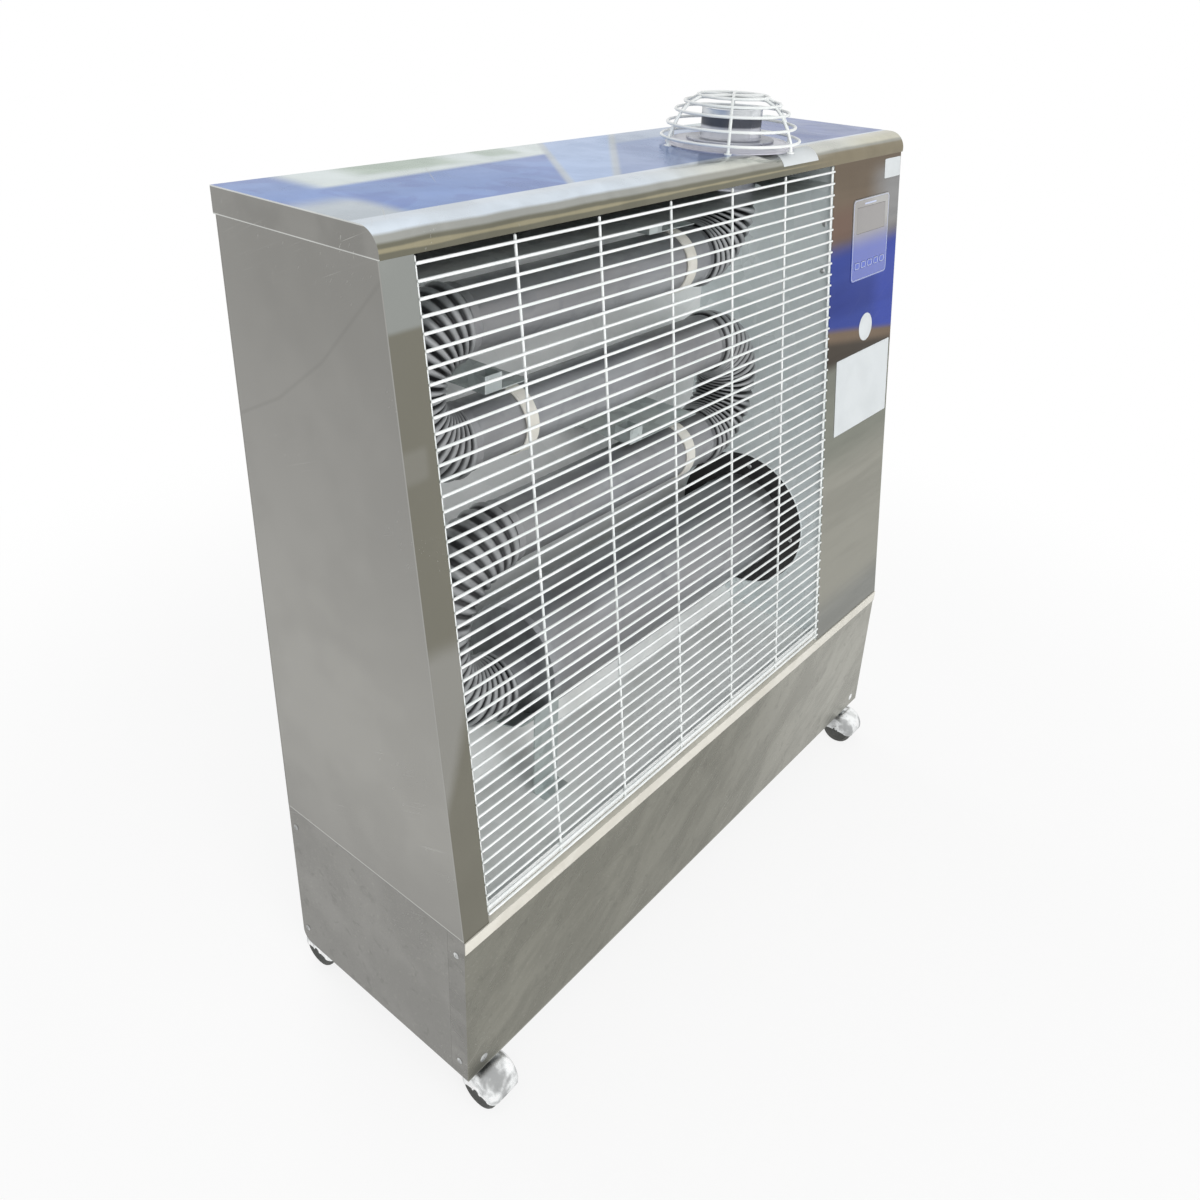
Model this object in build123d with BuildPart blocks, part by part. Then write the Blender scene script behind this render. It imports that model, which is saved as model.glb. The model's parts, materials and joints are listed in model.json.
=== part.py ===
# Infrared diesel heater on swivel casters
# X runs along the front from left to right, -Y is the front, Z is up
# The origin lies on the floor, under the middle of the cabinet
# All lengths are in millimetres

from build123d import *
from math import cos, hypot, radians, sin, sqrt
import os

os.makedirs("parts", exist_ok=True)

# Driving dimensions of the cabinet
width = 920.0
depth = 295.0
caster_height = 60.0
base_height = 217.0
body_height = 684.0
front_setback = 74.0
lid_height = 25.0
lid_overhang = 1.5
lid_front_radius = 22.0
sheet = 1.2
thin_sheet = 0.8
cover_wrap = 26.0
base_rear_radius = 15.0
flange_width = 16.0
stile_width = 35.0
trim_height = 16.5
trim_proud = 1.3
ledge_depth = 22.0
seat_gap = 0.3

# Circles are drawn with this many flat sides: large ones, tubes and small ones
round_sides = 28
tube_sides = 20
small_sides = 12

# Driving dimensions of the louvres in the rear panel
louvre_length = 64.0
louvre_height = 9.0
louvre_pitch = 22.0
louvre_rows = 4
louvre_reach = 4.0
louvre_bank_x = 330.0
louvre_bank_gap = 78.0
louvre_margin = 60.0

# Driving dimensions of the heat chamber
partition_x = 268.0
left_wall_x = -434.0
chamber_floor_height = 9.0
chamber_lip_height = 12.0
floor_fold_y = 4.0
reflector_back_y = 112.0
reflector_top_height = 905.0
reflector_top_reach = 44.0
shield_height = 938.0

# Driving dimensions of the burner path
tube_y = 8.0
tube_radius = 36.0
tube_wall = 1.5
rib_radius = 40.5
rib_clearance = 4.0
rib_sides = 12
upper_tube_height = 863.0
left_pitch = 121.0
right_pitch = 132.0
lower_pitch = 198.0
left_bend_start = -316.0
right_bend_start = 123.0
lower_bend_start = -255.0
elbow_start = 79.0
elbow_radius = 67.0
bend_ribs = 20
lower_bend_ribs = 24
elbow_ribs = 10
drum_radius = 70.0
drum_wall = 2.0
drum_height = 430.0
drum_left = -232.0
opening_radius = 105.0
mount_flange_radius = 114.0
mount_flange_thickness = 3.0

# Driving dimensions of the hangers and the stand
strap_width = 18.0
strap_thickness = 1.5
strap_tab_width = 4.0
strap_places = (32.0, -237.0, 62.0)
hanger_spans = ((-22.0, 66.0), (-281.0, -218.0), (-37.0, 104.0))
hanger_rise = 5.0
hanger_box = 24.0
hanger_box_height = 18.0
hanger_foot = 14.0
stand_width = 40.0
stand_x = -222.0
stand_foot = 22.0
stand_leg_inset = 5.0
saddle_drop = 24.5

# Driving dimensions of the screws
screw_radius = 3.8
screw_height = 1.4
screw_sides = 8
small_screw_radius = 3.0
small_screw_height = 1.4
grille_screw_lift = 7.0
side_screw_inset = 10.5
side_screw_low = 24.0
side_screw_high = 190.0
rear_screw_count = 4
partition_screws = ((-69.0, 887.0), (-75.0, 827.0))
flange_screw_circle = 88.0
flange_screw_count = 4
flange_screw_turn = 4.0
washer_inset = 24.0
washer_lift = 16.0
washer_radius = 5.5
washer_height = 1.2
washer_sides = 12

# Driving dimensions of the flue
spigot_radius = 36.0
spigot_wall = 1.2
spigot_rise = 44.0
flange_ring_radius = 52.5
flange_ring_height = 3.0
collar_radius = 78.0
collar_height = 6.0
guard_wire = 4.0
guard_ring_radii = (83.0, 76.5, 67.5, 57.0, 42.0)
guard_ring_heights = (7.0, 22.0, 37.0, 46.5, 54.0)
guard_ribs = 6
guard_rib_turn = 32.0
guard_sides = 16
guard_foot_radius = 4.5
guard_foot_thickness = 1.5

# Driving dimensions of the grille
grille_left = -425.0
grille_right = 268.0
grille_wire = 3.0
wire_sides = 6
wire_set_forward = 1.8
grille_pitch = 14.25
cross_wires = 47
uprights = 5
first_cross_height = 953.3
frame_foot_height = 288.0
upright_rise = 6.0
grille_screw_places = (-408.0, -218.0, -45.0, 135.0)

# Driving dimensions of the control fascia
display_x = 376.0
display_height = 857.0
display_width = 105.0
display_length = 109.0
display_corner = 6.0
display_thickness = 12.0
display_proud = 0.8
lens_thickness = 1.5
lens_height = 34.0
lens_width = 82.0
lens_lift = 26.0
key_count = 5
key_width = 13.0
key_length = 9.0
key_pitch = 18.5
key_drop = 34.0
key_travel = 0.6
key_clearance = 0.25
key_depth = 2.4
key_proud = 0.4

# Driving dimensions of the mains inlet gland
gland_x = 420.0
gland_lift = 34.0
gland_nut_radius = 13.0
gland_nut_length = 6.0
gland_dome_radius = 10.0
gland_dome_length = 10.0
gland_bore = 4.0

# Driving dimensions of the burner
blast_tube_radius = 34.0
burner_head_radius = 56.0
burner_head_length = 52.0
head_plate_inset = 8.0
blast_reach = 70.0
nozzle_radius = 7.0
nozzle_length = 14.0
nozzle_step = 2.0
nozzle_setback = 20.0
blower_radius = 78.0
blower_width = 58.0
blower_wall = 1.5
motor_arm_length = 26.0
motor_arm_width = 10.0
motor_arm_thickness = 3.0
motor_arm_seat = 2.0
blower_wheel_radius = 62.0
blower_wheel_width = 44.0
blade_count = 10
blade_turn = 35.0
blade_thickness = 1.0
rim_thickness = 1.5
hub_wall = 5.0
hub_length = 14.0
blade_depth = 11.0
inlet_radius = 40.0
shaft_radius = 5.0
motor_radius = 42.0
motor_length = 38.0
motor_cap_length = 10.0
motor_cap_step = 6.0
shaft_end_gap = 2.0
transformer_size = (70.0, 50.0, 46.0)
transformer_lift = 30.0
transformer_edge = 5.0

# Driving dimensions of the control board
board_lift = 330.0
board_gap = 10.0
board_width = 130.0
board_height = 170.0
board_thickness = 1.6
board_y = 20.0
standoff_radius = 3.0
standoff_inset = 14.0
relay_size = (28.0, 24.0)
relay_places = ((-32.0, -48.0), (28.0, -40.0), (32.0, 30.0))
supply_size = (44.0, 50.0)
supply_place = (-30.0, 40.0)
component_height = 16.0

# Driving dimensions of the fuel system
tank_left = -430.0
tank_right = 372.0
tank_depth = 258.0
tank_height = 200.0
tank_wall = 1.5
tank_corner = 18.0
neck_x = 318.0
neck_radius = 21.0
neck_wall = 1.5
neck_reach = 12.0
neck_drop = 41.0
seal_thickness = 3.0
cap_radius = 27.0
cap_height = 15.0
cap_wall = 3.0
cap_clearance = 0.4
cap_ribs = 10
cap_rib_size = 2.4
pump_radius = 15.0
pump_length = 62.0
pump_y = -70.0
pump_lift = 38.0
pipe_radius = 3.0
pipe_bend = 10.0

# Driving dimensions of the casters
wheel_radius = 25.0
wheel_width = 16.0
wheel_sides = 20
wheel_turn = 180.0 / wheel_sides
wheel_play = 0.6
wheel_crown = 5.0
web_half_width = 4.6
axle_radius = 3.0
axle_sides = 12
hood_wall = 1.5
hood_skirt = 3.0
running_clearance = 0.05
caster_trail = 18.0
caster_x = 424.0
caster_y = 127.0
plate_size = 38.0
plate_thickness = 2.5
kingpin_radius = 4.0
kingpin_sides = 12
kingpin_length = 10.0
neck_boss_radius = 9.0
neck_boss_length = 18.0

# Levels and places that follow from the driving dimensions
z_base = caster_height
z_seam = z_base + base_height
z_lid = z_seam + body_height
z_top = z_lid + lid_height
z_chamber = z_seam + chamber_floor_height
half_width = width / 2
half_depth = depth / 2
setback_per_mm = front_setback / body_height
slope = hypot(front_setback, body_height)
up_slope = Vector(0, front_setback / slope, body_height / slope)
out_slope = Vector(0, -body_height / slope, front_setback / slope)
lean = sqrt(1 + setback_per_mm**2)


def front_y(z, inset=0.0):
    # Y of the leaning front at height z, moved inwards square to it by inset
    return -half_depth + setback_per_mm * (z - z_seam) + inset * lean


def front_plane(x, z, inset=0.0):
    # Plane on the leaning front, facing out, with its Y up the slope
    return Plane(origin=(x, front_y(z, inset), z), x_dir=(1, 0, 0), z_dir=tuple(out_slope))


def side_outline(x, inset_front, inset_rear):
    # Side outline of the upper cabinet on the plane at x
    with BuildSketch(Plane.YZ.offset(x)) as outline:
        with BuildLine():
            Polyline(
                (front_y(z_seam, inset_front), z_seam),
                (half_depth - inset_rear, z_seam),
                (half_depth - inset_rear, z_lid),
                (front_y(z_lid, inset_front), z_lid),
                close=True,
            )
        make_face()
    return outline.sketch


def save(name, label):
    # Label a finished piece and write it
    name.part.label = label
    export_step(name.part, f"parts/{label}.step")


# Base pan: floor, rear wall with a rounded fold, and two low side walls
with BuildPart() as base_pan:
    with BuildSketch(Plane.XY.offset(z_base)):
        Rectangle(width, depth)
    extrude(amount=base_height)
    fillet(base_pan.edges().filter_by(Axis.X).group_by(Axis.Z)[0].sort_by(Axis.Y)[-1:], base_rear_radius)
    pan_openings = [base_pan.faces().sort_by(Axis.Z)[-1], base_pan.faces().sort_by(Axis.Y)[0]]
    offset(amount=-sheet, openings=pan_openings)
    # The side walls stop where the front cover wraps round the corner
    with BuildSketch(Plane.YZ):
        with Locations((-half_depth, z_base + sheet)):
            Rectangle(cover_wrap, base_height, align=(Align.MIN, Align.MIN))
    extrude(amount=half_width, both=True, mode=Mode.SUBTRACT)
    # The floor stops behind the cover
    with BuildSketch(Plane.XY.offset(z_base)):
        with Locations((0, -half_depth)):
            Rectangle(width, sheet, align=(Align.CENTER, Align.MIN))
    extrude(amount=sheet, mode=Mode.SUBTRACT)
    # Hole for the filler neck in the rear wall
    with BuildSketch(Plane.XZ.offset(-half_depth)):
        with Locations((neck_x, z_seam - neck_drop)):
            RegularPolygon(neck_radius + seat_gap, 2 * cap_ribs)
    extrude(amount=2 * sheet, mode=Mode.SUBTRACT)
save(base_pan, "base_pan")

# Base front cover: a plate that wraps both corners and stands on the pan's floor
with BuildPart() as base_front_cover:
    with BuildSketch(Plane.XY.offset(z_base)):
        with Locations((0, -half_depth)):
            Rectangle(width, cover_wrap, align=(Align.CENTER, Align.MIN))
    extrude(amount=base_height)
    with BuildSketch(Plane.XY.offset(z_base)):
        with Locations((0, -half_depth + sheet)):
            Rectangle(width - 2 * sheet, cover_wrap, align=(Align.CENTER, Align.MIN))
    extrude(amount=base_height, mode=Mode.SUBTRACT)
    with BuildSketch(Plane.XY.offset(z_base)):
        with Locations((0, -half_depth + sheet)):
            Rectangle(width, cover_wrap, align=(Align.CENTER, Align.MIN))
    extrude(amount=sheet, mode=Mode.SUBTRACT)
    # Room for the trim strip along the top
    with BuildSketch(Plane.XY.offset(z_seam)):
        with Locations((0, -half_depth)):
            Rectangle(width - 2 * sheet, sheet, align=(Align.CENTER, Align.MIN))
    extrude(amount=-trim_height, mode=Mode.SUBTRACT)
save(base_front_cover, "base_front_cover")

# Trim strip: a proud bar with a ledge that goes in under the grille
with BuildPart() as trim_strip:
    with BuildSketch(Plane.YZ):
        with Locations((-half_depth, z_seam)):
            Rectangle(trim_proud, trim_height, align=(Align.MAX, Align.MAX))
    extrude(amount=half_width, both=True)
    with BuildSketch(Plane.YZ):
        with BuildLine():
            Polyline(
                (-half_depth, z_seam - trim_height),
                (-half_depth + sheet, z_seam - trim_height),
                (-half_depth + sheet, z_seam - sheet),
                (-half_depth + ledge_depth, z_seam - sheet),
                (-half_depth + ledge_depth, z_seam),
                (-half_depth, z_seam),
                close=True,
            )
        make_face()
    extrude(amount=half_width - sheet, both=True)
save(trim_strip, "trim_strip")


def side_channel(x_out, side, has_stile):
    # A side wall with a rear flange and, on the left, a folded front stile
    inward = -side
    reach = stile_width if has_stile else flange_width
    front_inset = 0.0 if has_stile else sheet
    with BuildPart() as channel:
        extrude(side_outline(x_out, front_inset, sheet), amount=inward * reach)
        hollow = side_outline(x_out + inward * sheet, front_inset + sheet, 2 * sheet)
        extrude(hollow, amount=inward * reach, mode=Mode.SUBTRACT)
        if has_stile:
            # The rear flange is narrower than the front stile
            trim_side = Align.MIN if inward > 0 else Align.MAX
            with BuildSketch(Plane.XY.offset(z_seam)):
                with Locations((x_out + inward * flange_width, half_depth)):
                    Rectangle(stile_width, depth / 4, align=(trim_side, Align.MAX))
            extrude(amount=body_height, mode=Mode.SUBTRACT)
    return channel


left_side_panel = side_channel(-half_width, -1, True)
save(left_side_panel, "left_side_panel")
right_side_panel = side_channel(half_width, 1, False)
save(right_side_panel, "right_side_panel")

# Top lid: a folded tray turned over, with a round front edge and a return flange all round
flue_x = elbow_start + elbow_radius
lid_front = front_y(z_lid) - lid_overhang
lid_rear = half_depth + lid_overhang


def lid_section(inset):
    # Side outline of the lid, drawn smaller by inset on every side
    front, rear = lid_front + inset, lid_rear - inset
    low, high = z_lid + inset, z_top - inset
    radius = lid_front_radius - inset
    with BuildSketch(Plane.YZ) as section:
        with BuildLine():
            l1 = Line((rear, low), (rear, high))
            l2 = Line(l1 @ 1, (front + radius, high))
            l3 = RadiusArc(l2 @ 1, (front, high - radius), -radius)
            l4 = Line(l3 @ 1, (front, low))
            Line(l4 @ 1, l1 @ 0)
        make_face()
    return section.sketch


with BuildPart() as top_lid:
    extrude(lid_section(0), amount=half_width + lid_overhang, both=True)
    extrude(lid_section(sheet), amount=half_width + lid_overhang - sheet, both=True, mode=Mode.SUBTRACT)
    with BuildSketch(Plane.XY.offset(z_lid)):
        with Locations((0, (lid_front + lid_rear) / 2)):
            Rectangle(width - 2 * flange_width, lid_rear - lid_front - 2 * flange_width)
    extrude(amount=sheet, mode=Mode.SUBTRACT)
    with BuildSketch(Plane.XY.offset(z_top)):
        with Locations((flue_x, tube_y)):
            RegularPolygon(spigot_radius + seat_gap, tube_sides)
    extrude(amount=-sheet, mode=Mode.SUBTRACT)
save(top_lid, "top_lid")

# Rear panel with two banks of pressed louvres behind the burner, low and high
louvre_levels = (z_seam + louvre_margin, z_lid - louvre_margin - louvre_rows * louvre_pitch)
louvre_feet = [level + row * louvre_pitch for level in louvre_levels for row in range(louvre_rows)]
louvre_banks = [louvre_bank_x + bank * louvre_bank_gap for bank in (0, 1)]
with BuildPart() as rear_panel:
    with BuildSketch(Plane.XZ.offset(-half_depth)):
        with Locations((0, z_seam)):
            Rectangle(width, body_height, align=(Align.CENTER, Align.MIN))
    extrude(amount=sheet)
    for bank_x in louvre_banks:
        with BuildSketch(Plane.YZ.offset(bank_x - louvre_length / 2)):
            for foot in louvre_feet:
                with BuildLine():
                    Polyline(
                        (half_depth, foot + louvre_height),
                        (half_depth + louvre_reach, foot + sheet),
                        (half_depth + louvre_reach, foot),
                        (half_depth, foot + louvre_height - 2 * sheet),
                        close=True,
                    )
                make_face()
        extrude(amount=louvre_length)
    with BuildSketch(Plane.XZ.offset(-half_depth)):
        with Locations(*[(bank_x, foot) for bank_x in louvre_banks for foot in louvre_feet]):
            Rectangle(louvre_length, louvre_height / 2, align=(Align.CENTER, Align.MIN))
    extrude(amount=sheet, mode=Mode.SUBTRACT)
save(rear_panel, "rear_panel")

# Control fascia: front plate right of the grille, wrapped to the right, with the display window
fascia_width = half_width - partition_x
with BuildPart() as control_fascia:
    with BuildSketch(Plane.YZ.offset(partition_x)):
        with BuildLine():
            Polyline(
                (front_y(z_seam), z_seam),
                (front_y(z_seam, sheet), z_seam),
                (front_y(z_lid, sheet), z_lid),
                (front_y(z_lid), z_lid),
                close=True,
            )
        make_face()
    extrude(amount=fascia_width)
    with BuildSketch(front_plane(display_x, display_height)):
        RectangleRounded(display_width + 2 * seat_gap, display_length + 2 * seat_gap, display_corner)
    extrude(amount=-3 * sheet, mode=Mode.SUBTRACT)
save(control_fascia, "control_fascia")

# Display module: a closed housing through the fascia, with the lens pocket and a pocket for each key
key_places = [(key_pitch * (i - (key_count - 1) / 2), -key_drop) for i in range(key_count)]
display_face = front_plane(display_x, display_height, -display_proud)
with BuildPart() as display_panel:
    with BuildSketch(display_face):
        RectangleRounded(display_width, display_length, display_corner)
    extrude(amount=-display_thickness)
    with BuildSketch(front_plane(display_x, display_height, sheet)):
        Rectangle(display_width + display_corner, display_length + display_corner)
    extrude(amount=-2 * sheet)
    with BuildSketch(display_face):
        with Locations((0, lens_lift)):
            Rectangle(lens_width + 2 * key_clearance, lens_height + 2 * key_clearance)
    extrude(amount=-lens_thickness, mode=Mode.SUBTRACT)
    with BuildSketch(display_face):
        with Locations(*key_places):
            Rectangle(key_width + 2 * key_clearance, key_length + 2 * key_clearance)
    extrude(amount=-(key_depth - key_proud + key_travel + key_clearance), mode=Mode.SUBTRACT)
save(display_panel, "display_panel")

# Display lens: smoked window that lies in its pocket
with BuildPart() as display_lens:
    with BuildSketch(display_face):
        with Locations((0, lens_lift)):
            Rectangle(lens_width, lens_height)
    extrude(amount=-lens_thickness)
save(display_lens, "display_lens")

# Touch keys, each free to travel into its pocket
key_face = front_plane(display_x, display_height, -display_proud - key_proud)
for index, (key_x, key_y) in enumerate(key_places):
    with BuildPart() as touch_key:
        with BuildSketch(key_face):
            with Locations((key_x, key_y)):
                Rectangle(key_width, key_length)
        extrude(amount=-key_depth)
    save(touch_key, f"touch_key_{index + 1}")

# Heat reflector: one folded sheet with front lip, floor, slope, back and the slope under the shield
slope_run = reflector_back_y - floor_fold_y
chamber_left = left_wall_x + thin_sheet
chamber_width = partition_x - chamber_left
lip_inset = 2 * grille_wire - wire_set_forward + seat_gap + thin_sheet
lip_top = z_chamber + chamber_lip_height
with BuildPart() as heat_reflector:
    with BuildSketch(Plane.YZ.offset(chamber_left)):
        with BuildLine():
            Polyline(
                (front_y(lip_top, lip_inset), lip_top),
                (front_y(z_chamber, lip_inset), z_chamber),
                (floor_fold_y, z_chamber),
                (reflector_back_y, z_chamber + slope_run),
                (reflector_back_y, reflector_top_height),
                (reflector_back_y - reflector_top_reach, shield_height),
            )
            offset(amount=thin_sheet, side=Side.RIGHT, kind=Kind.INTERSECTION)
        make_face()
    extrude(amount=chamber_width)
save(heat_reflector, "heat_reflector")

# Top heat shield with its hole for the flue
shield_front = front_y(shield_height, lip_inset)
shield_rear = reflector_back_y - reflector_top_reach
with BuildPart() as top_heat_shield:
    with BuildSketch(Plane.XY.offset(shield_height)):
        with Locations((chamber_left, shield_front)):
            Rectangle(chamber_width, shield_rear - shield_front, align=(Align.MIN, Align.MIN))
        with Locations((flue_x, tube_y)):
            RegularPolygon(rib_radius + rib_clearance, round_sides, mode=Mode.SUBTRACT)
    extrude(amount=thin_sheet)
save(top_heat_shield, "top_heat_shield")


def chamber_wall(x, side, hole_radius):
    # A wall across the cabinet, with a front flange behind the stile or fascia
    with BuildPart() as wall:
        extrude(side_outline(x, sheet, sheet), amount=side * flange_width)
        hollow = side_outline(x + side * thin_sheet, sheet + thin_sheet, sheet)
        extrude(hollow, amount=side * flange_width, mode=Mode.SUBTRACT)
        if hole_radius:
            with BuildSketch(Plane.YZ.offset(x)):
                with Locations((tube_y, drum_height)):
                    RegularPolygon(hole_radius, round_sides)
            extrude(amount=side * thin_sheet, mode=Mode.SUBTRACT)
    return wall


burner_partition = chamber_wall(partition_x, 1, opening_radius)
save(burner_partition, "burner_partition")
left_inner_wall = chamber_wall(chamber_left, -1, 0.0)
save(left_inner_wall, "left_inner_wall")

# Plain emitter tubes, one above the other
middle_tube_height = upper_tube_height - left_pitch
lower_tube_height = middle_tube_height - right_pitch
bend_inlet_height = lower_tube_height - lower_pitch


def plain_tube(x_from, x_to, height):
    # An open tube along X
    with BuildPart() as tube:
        with BuildSketch(Plane.YZ.offset(x_from)):
            with Locations((tube_y, height)):
                RegularPolygon(tube_radius, tube_sides)
                RegularPolygon(tube_radius - tube_wall, tube_sides, mode=Mode.SUBTRACT)
        extrude(amount=x_to - x_from)
    return tube


upper_tube = plain_tube(left_bend_start, elbow_start, upper_tube_height)
save(upper_tube, "upper_emitter_tube")
middle_tube = plain_tube(left_bend_start, right_bend_start, middle_tube_height)
save(middle_tube, "middle_emitter_tube")
lower_tube = plain_tube(lower_bend_start, right_bend_start, lower_tube_height)
save(lower_tube, "lower_emitter_tube")


def bend_ring(x_centre, z_centre, radius, angle, size):
    # Corners of a section square to the centre line of a bend that lies in an XZ plane
    ring = []
    for k in range(rib_sides):
        turn = radians(360 / rib_sides * k)
        reach = radius + size * cos(turn)
        x = x_centre + reach * cos(radians(angle))
        z = z_centre + reach * sin(radians(angle))
        ring.append((x, tube_y + size * sin(turn), z))
    return ring


def ribbed_bend(x_centre, z_centre, radius, first_angle, sweep_angle, ribs):
    # A pressed bend: rib crests and roots alternate along the arc, and a plain bore runs back inside
    steps = 2 * ribs
    bore_steps = ribs // 2
    bore_radius = tube_radius - 2 * tube_wall
    stations = [(i / steps, rib_radius if i % 2 else tube_radius) for i in range(steps + 1)]
    stations += [(1 - i / bore_steps, bore_radius) for i in range(bore_steps + 1)]
    rings = []
    for share, size in stations:
        rings.append(bend_ring(x_centre, z_centre, radius, first_angle + sweep_angle * share, size))
    facets = []
    for ring, after in zip(rings, rings[1:] + rings[:1]):
        for k in range(rib_sides):
            m = (k + 1) % rib_sides
            facets.append(Face(Wire.make_polygon([ring[k], ring[m], after[m]])))
            facets.append(Face(Wire.make_polygon([ring[k], after[m], after[k]])))
    with BuildPart() as bend:
        add(Solid(Shell(facets)))
    return bend


left_upper_bend = ribbed_bend(
    left_bend_start, (upper_tube_height + middle_tube_height) / 2, left_pitch / 2, 90, 180, bend_ribs
)
save(left_upper_bend, "left_upper_bend")
right_bend = ribbed_bend(
    right_bend_start, (middle_tube_height + lower_tube_height) / 2, right_pitch / 2, -90, 180, bend_ribs
)
save(right_bend, "right_bend")
left_lower_bend = ribbed_bend(
    lower_bend_start, (lower_tube_height + bend_inlet_height) / 2, lower_pitch / 2, 90, 180, lower_bend_ribs
)
save(left_lower_bend, "left_lower_bend")
flue_elbow = ribbed_bend(elbow_start, upper_tube_height + elbow_radius, elbow_radius, -90, 90, elbow_ribs)
save(flue_elbow, "flue_elbow")

# Combustion drum: closed left end with a stub for the lower bend, open right end in the burner space
drum_right = partition_x + thin_sheet + mount_flange_thickness
with BuildPart() as combustion_drum:
    with BuildSketch(Plane.YZ.offset(drum_left)):
        with Locations((tube_y, drum_height)):
            RegularPolygon(drum_radius, round_sides)
    extrude(amount=drum_right - drum_left)
    with BuildSketch(Plane.YZ.offset(drum_left + drum_wall)):
        with Locations((tube_y, drum_height)):
            RegularPolygon(drum_radius - drum_wall, round_sides)
    extrude(amount=drum_right - drum_left, mode=Mode.SUBTRACT)
    with BuildSketch(Plane.YZ.offset(lower_bend_start)):
        with Locations((tube_y, bend_inlet_height)):
            RegularPolygon(tube_radius, tube_sides)
    extrude(amount=drum_left - lower_bend_start + drum_wall)
    with BuildSketch(Plane.YZ.offset(lower_bend_start)):
        with Locations((tube_y, bend_inlet_height)):
            RegularPolygon(tube_radius - tube_wall, tube_sides)
    extrude(amount=drum_left - lower_bend_start + drum_wall, mode=Mode.SUBTRACT)
save(combustion_drum, "combustion_drum")

# Drum mounting flange: dark ring behind the partition's hole
flange_x = partition_x + thin_sheet
with BuildPart() as drum_flange:
    with BuildSketch(Plane.YZ.offset(flange_x)):
        with Locations((tube_y, drum_height)):
            RegularPolygon(mount_flange_radius, round_sides)
            RegularPolygon(drum_radius + seat_gap, round_sides, mode=Mode.SUBTRACT)
    extrude(amount=mount_flange_thickness)
save(drum_flange, "drum_mounting_flange")

# Tube hangers: arms from the back reflector over each tube, with a square box end
hanger_tubes = (upper_tube_height, middle_tube_height, lower_tube_height)
arm_front = tube_y - hanger_box / 2
with BuildPart() as tube_hangers:
    for (arm_left, arm_right), height in zip(hanger_spans, hanger_tubes):
        arm_level = height + tube_radius + hanger_rise
        with BuildSketch(Plane.XY.offset(arm_level)):
            with Locations((arm_left, arm_front)):
                Rectangle(arm_right - arm_left, reflector_back_y - arm_front, align=(Align.MIN, Align.MIN))
        extrude(amount=sheet)
        with BuildSketch(Plane.XY.offset(arm_level + sheet)):
            with Locations((arm_left + hanger_box / 2, tube_y)):
                Rectangle(hanger_box, hanger_box)
                Rectangle(hanger_box - 2 * sheet, hanger_box - 2 * sheet, mode=Mode.SUBTRACT)
        extrude(amount=hanger_box_height)
        # Foot that turns down against the reflector
        with BuildSketch(Plane.XY.offset(arm_level)):
            with Locations((arm_left, reflector_back_y)):
                Rectangle(arm_right - arm_left, sheet, align=(Align.MIN, Align.MAX))
        extrude(amount=-hanger_foot)
save(tube_hangers, "tube_hangers")

# Tube straps: pale bands round the front of each tube, hung from the arms
strap_inner = tube_radius + seat_gap
strap_outer = strap_inner + strap_thickness
with BuildPart() as tube_straps:
    for place, height in zip(strap_places, hanger_tubes):
        strap_tab = height + tube_radius + hanger_rise
        with BuildSketch(Plane.YZ.offset(place - strap_width / 2)):
            with Locations((tube_y, height)):
                RegularPolygon(strap_outer, tube_sides)
                RegularPolygon(strap_inner, tube_sides, mode=Mode.SUBTRACT)
                with Locations((strap_tab_width + strap_outer / 2, 0)):
                    Rectangle(strap_outer, 3 * strap_outer, mode=Mode.SUBTRACT)
            # Straight tab from the top of the band up to the arm
            with Locations((tube_y, height + strap_inner)):
                Rectangle(strap_tab_width, hanger_rise - seat_gap, align=(Align.MIN, Align.MIN))
        extrude(amount=strap_width)
save(tube_straps, "tube_straps")

# Drum stand: saddle on a folded leg that stands on the chamber floor
saddle_inner = drum_radius + seat_gap
saddle_top = drum_height - saddle_drop
leg_y = tube_y - saddle_inner + stand_leg_inset
with BuildPart() as drum_stand:
    with BuildSketch(Plane.YZ.offset(stand_x - stand_width)):
        with Locations((tube_y, drum_height)):
            RegularPolygon(saddle_inner + 2 * sheet, round_sides)
        with Locations((tube_y, saddle_top)):
            Rectangle(3 * drum_radius, 3 * drum_radius, align=(Align.CENTER, Align.MIN), mode=Mode.SUBTRACT)
        # Front leg and its foot
        with Locations((leg_y, z_chamber)):
            Rectangle(sheet * 2, saddle_top - z_chamber, align=(Align.MAX, Align.MIN))
            Rectangle(stand_foot, sheet, align=(Align.MAX, Align.MIN))
        with Locations((tube_y, drum_height)):
            RegularPolygon(saddle_inner, round_sides, mode=Mode.SUBTRACT)
    extrude(amount=stand_width)
save(drum_stand, "drum_stand")

# Flue spigot: tube through the lid with its flange ring
elbow_top = upper_tube_height + elbow_radius
collar_top = z_top + collar_height
with BuildPart() as flue_spigot:
    with BuildSketch(Plane.XY.offset(elbow_top)):
        with Locations((flue_x, tube_y)):
            RegularPolygon(spigot_radius, tube_sides)
    extrude(amount=z_top + spigot_rise - elbow_top)
    with BuildSketch(Plane.XY.offset(collar_top)):
        with Locations((flue_x, tube_y)):
            RegularPolygon(flange_ring_radius, tube_sides)
    extrude(amount=flange_ring_height)
    with BuildSketch(Plane.XY.offset(elbow_top)):
        with Locations((flue_x, tube_y)):
            RegularPolygon(spigot_radius - spigot_wall, tube_sides)
    extrude(amount=z_top + spigot_rise - elbow_top, mode=Mode.SUBTRACT)
save(flue_spigot, "flue_spigot")

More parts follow.
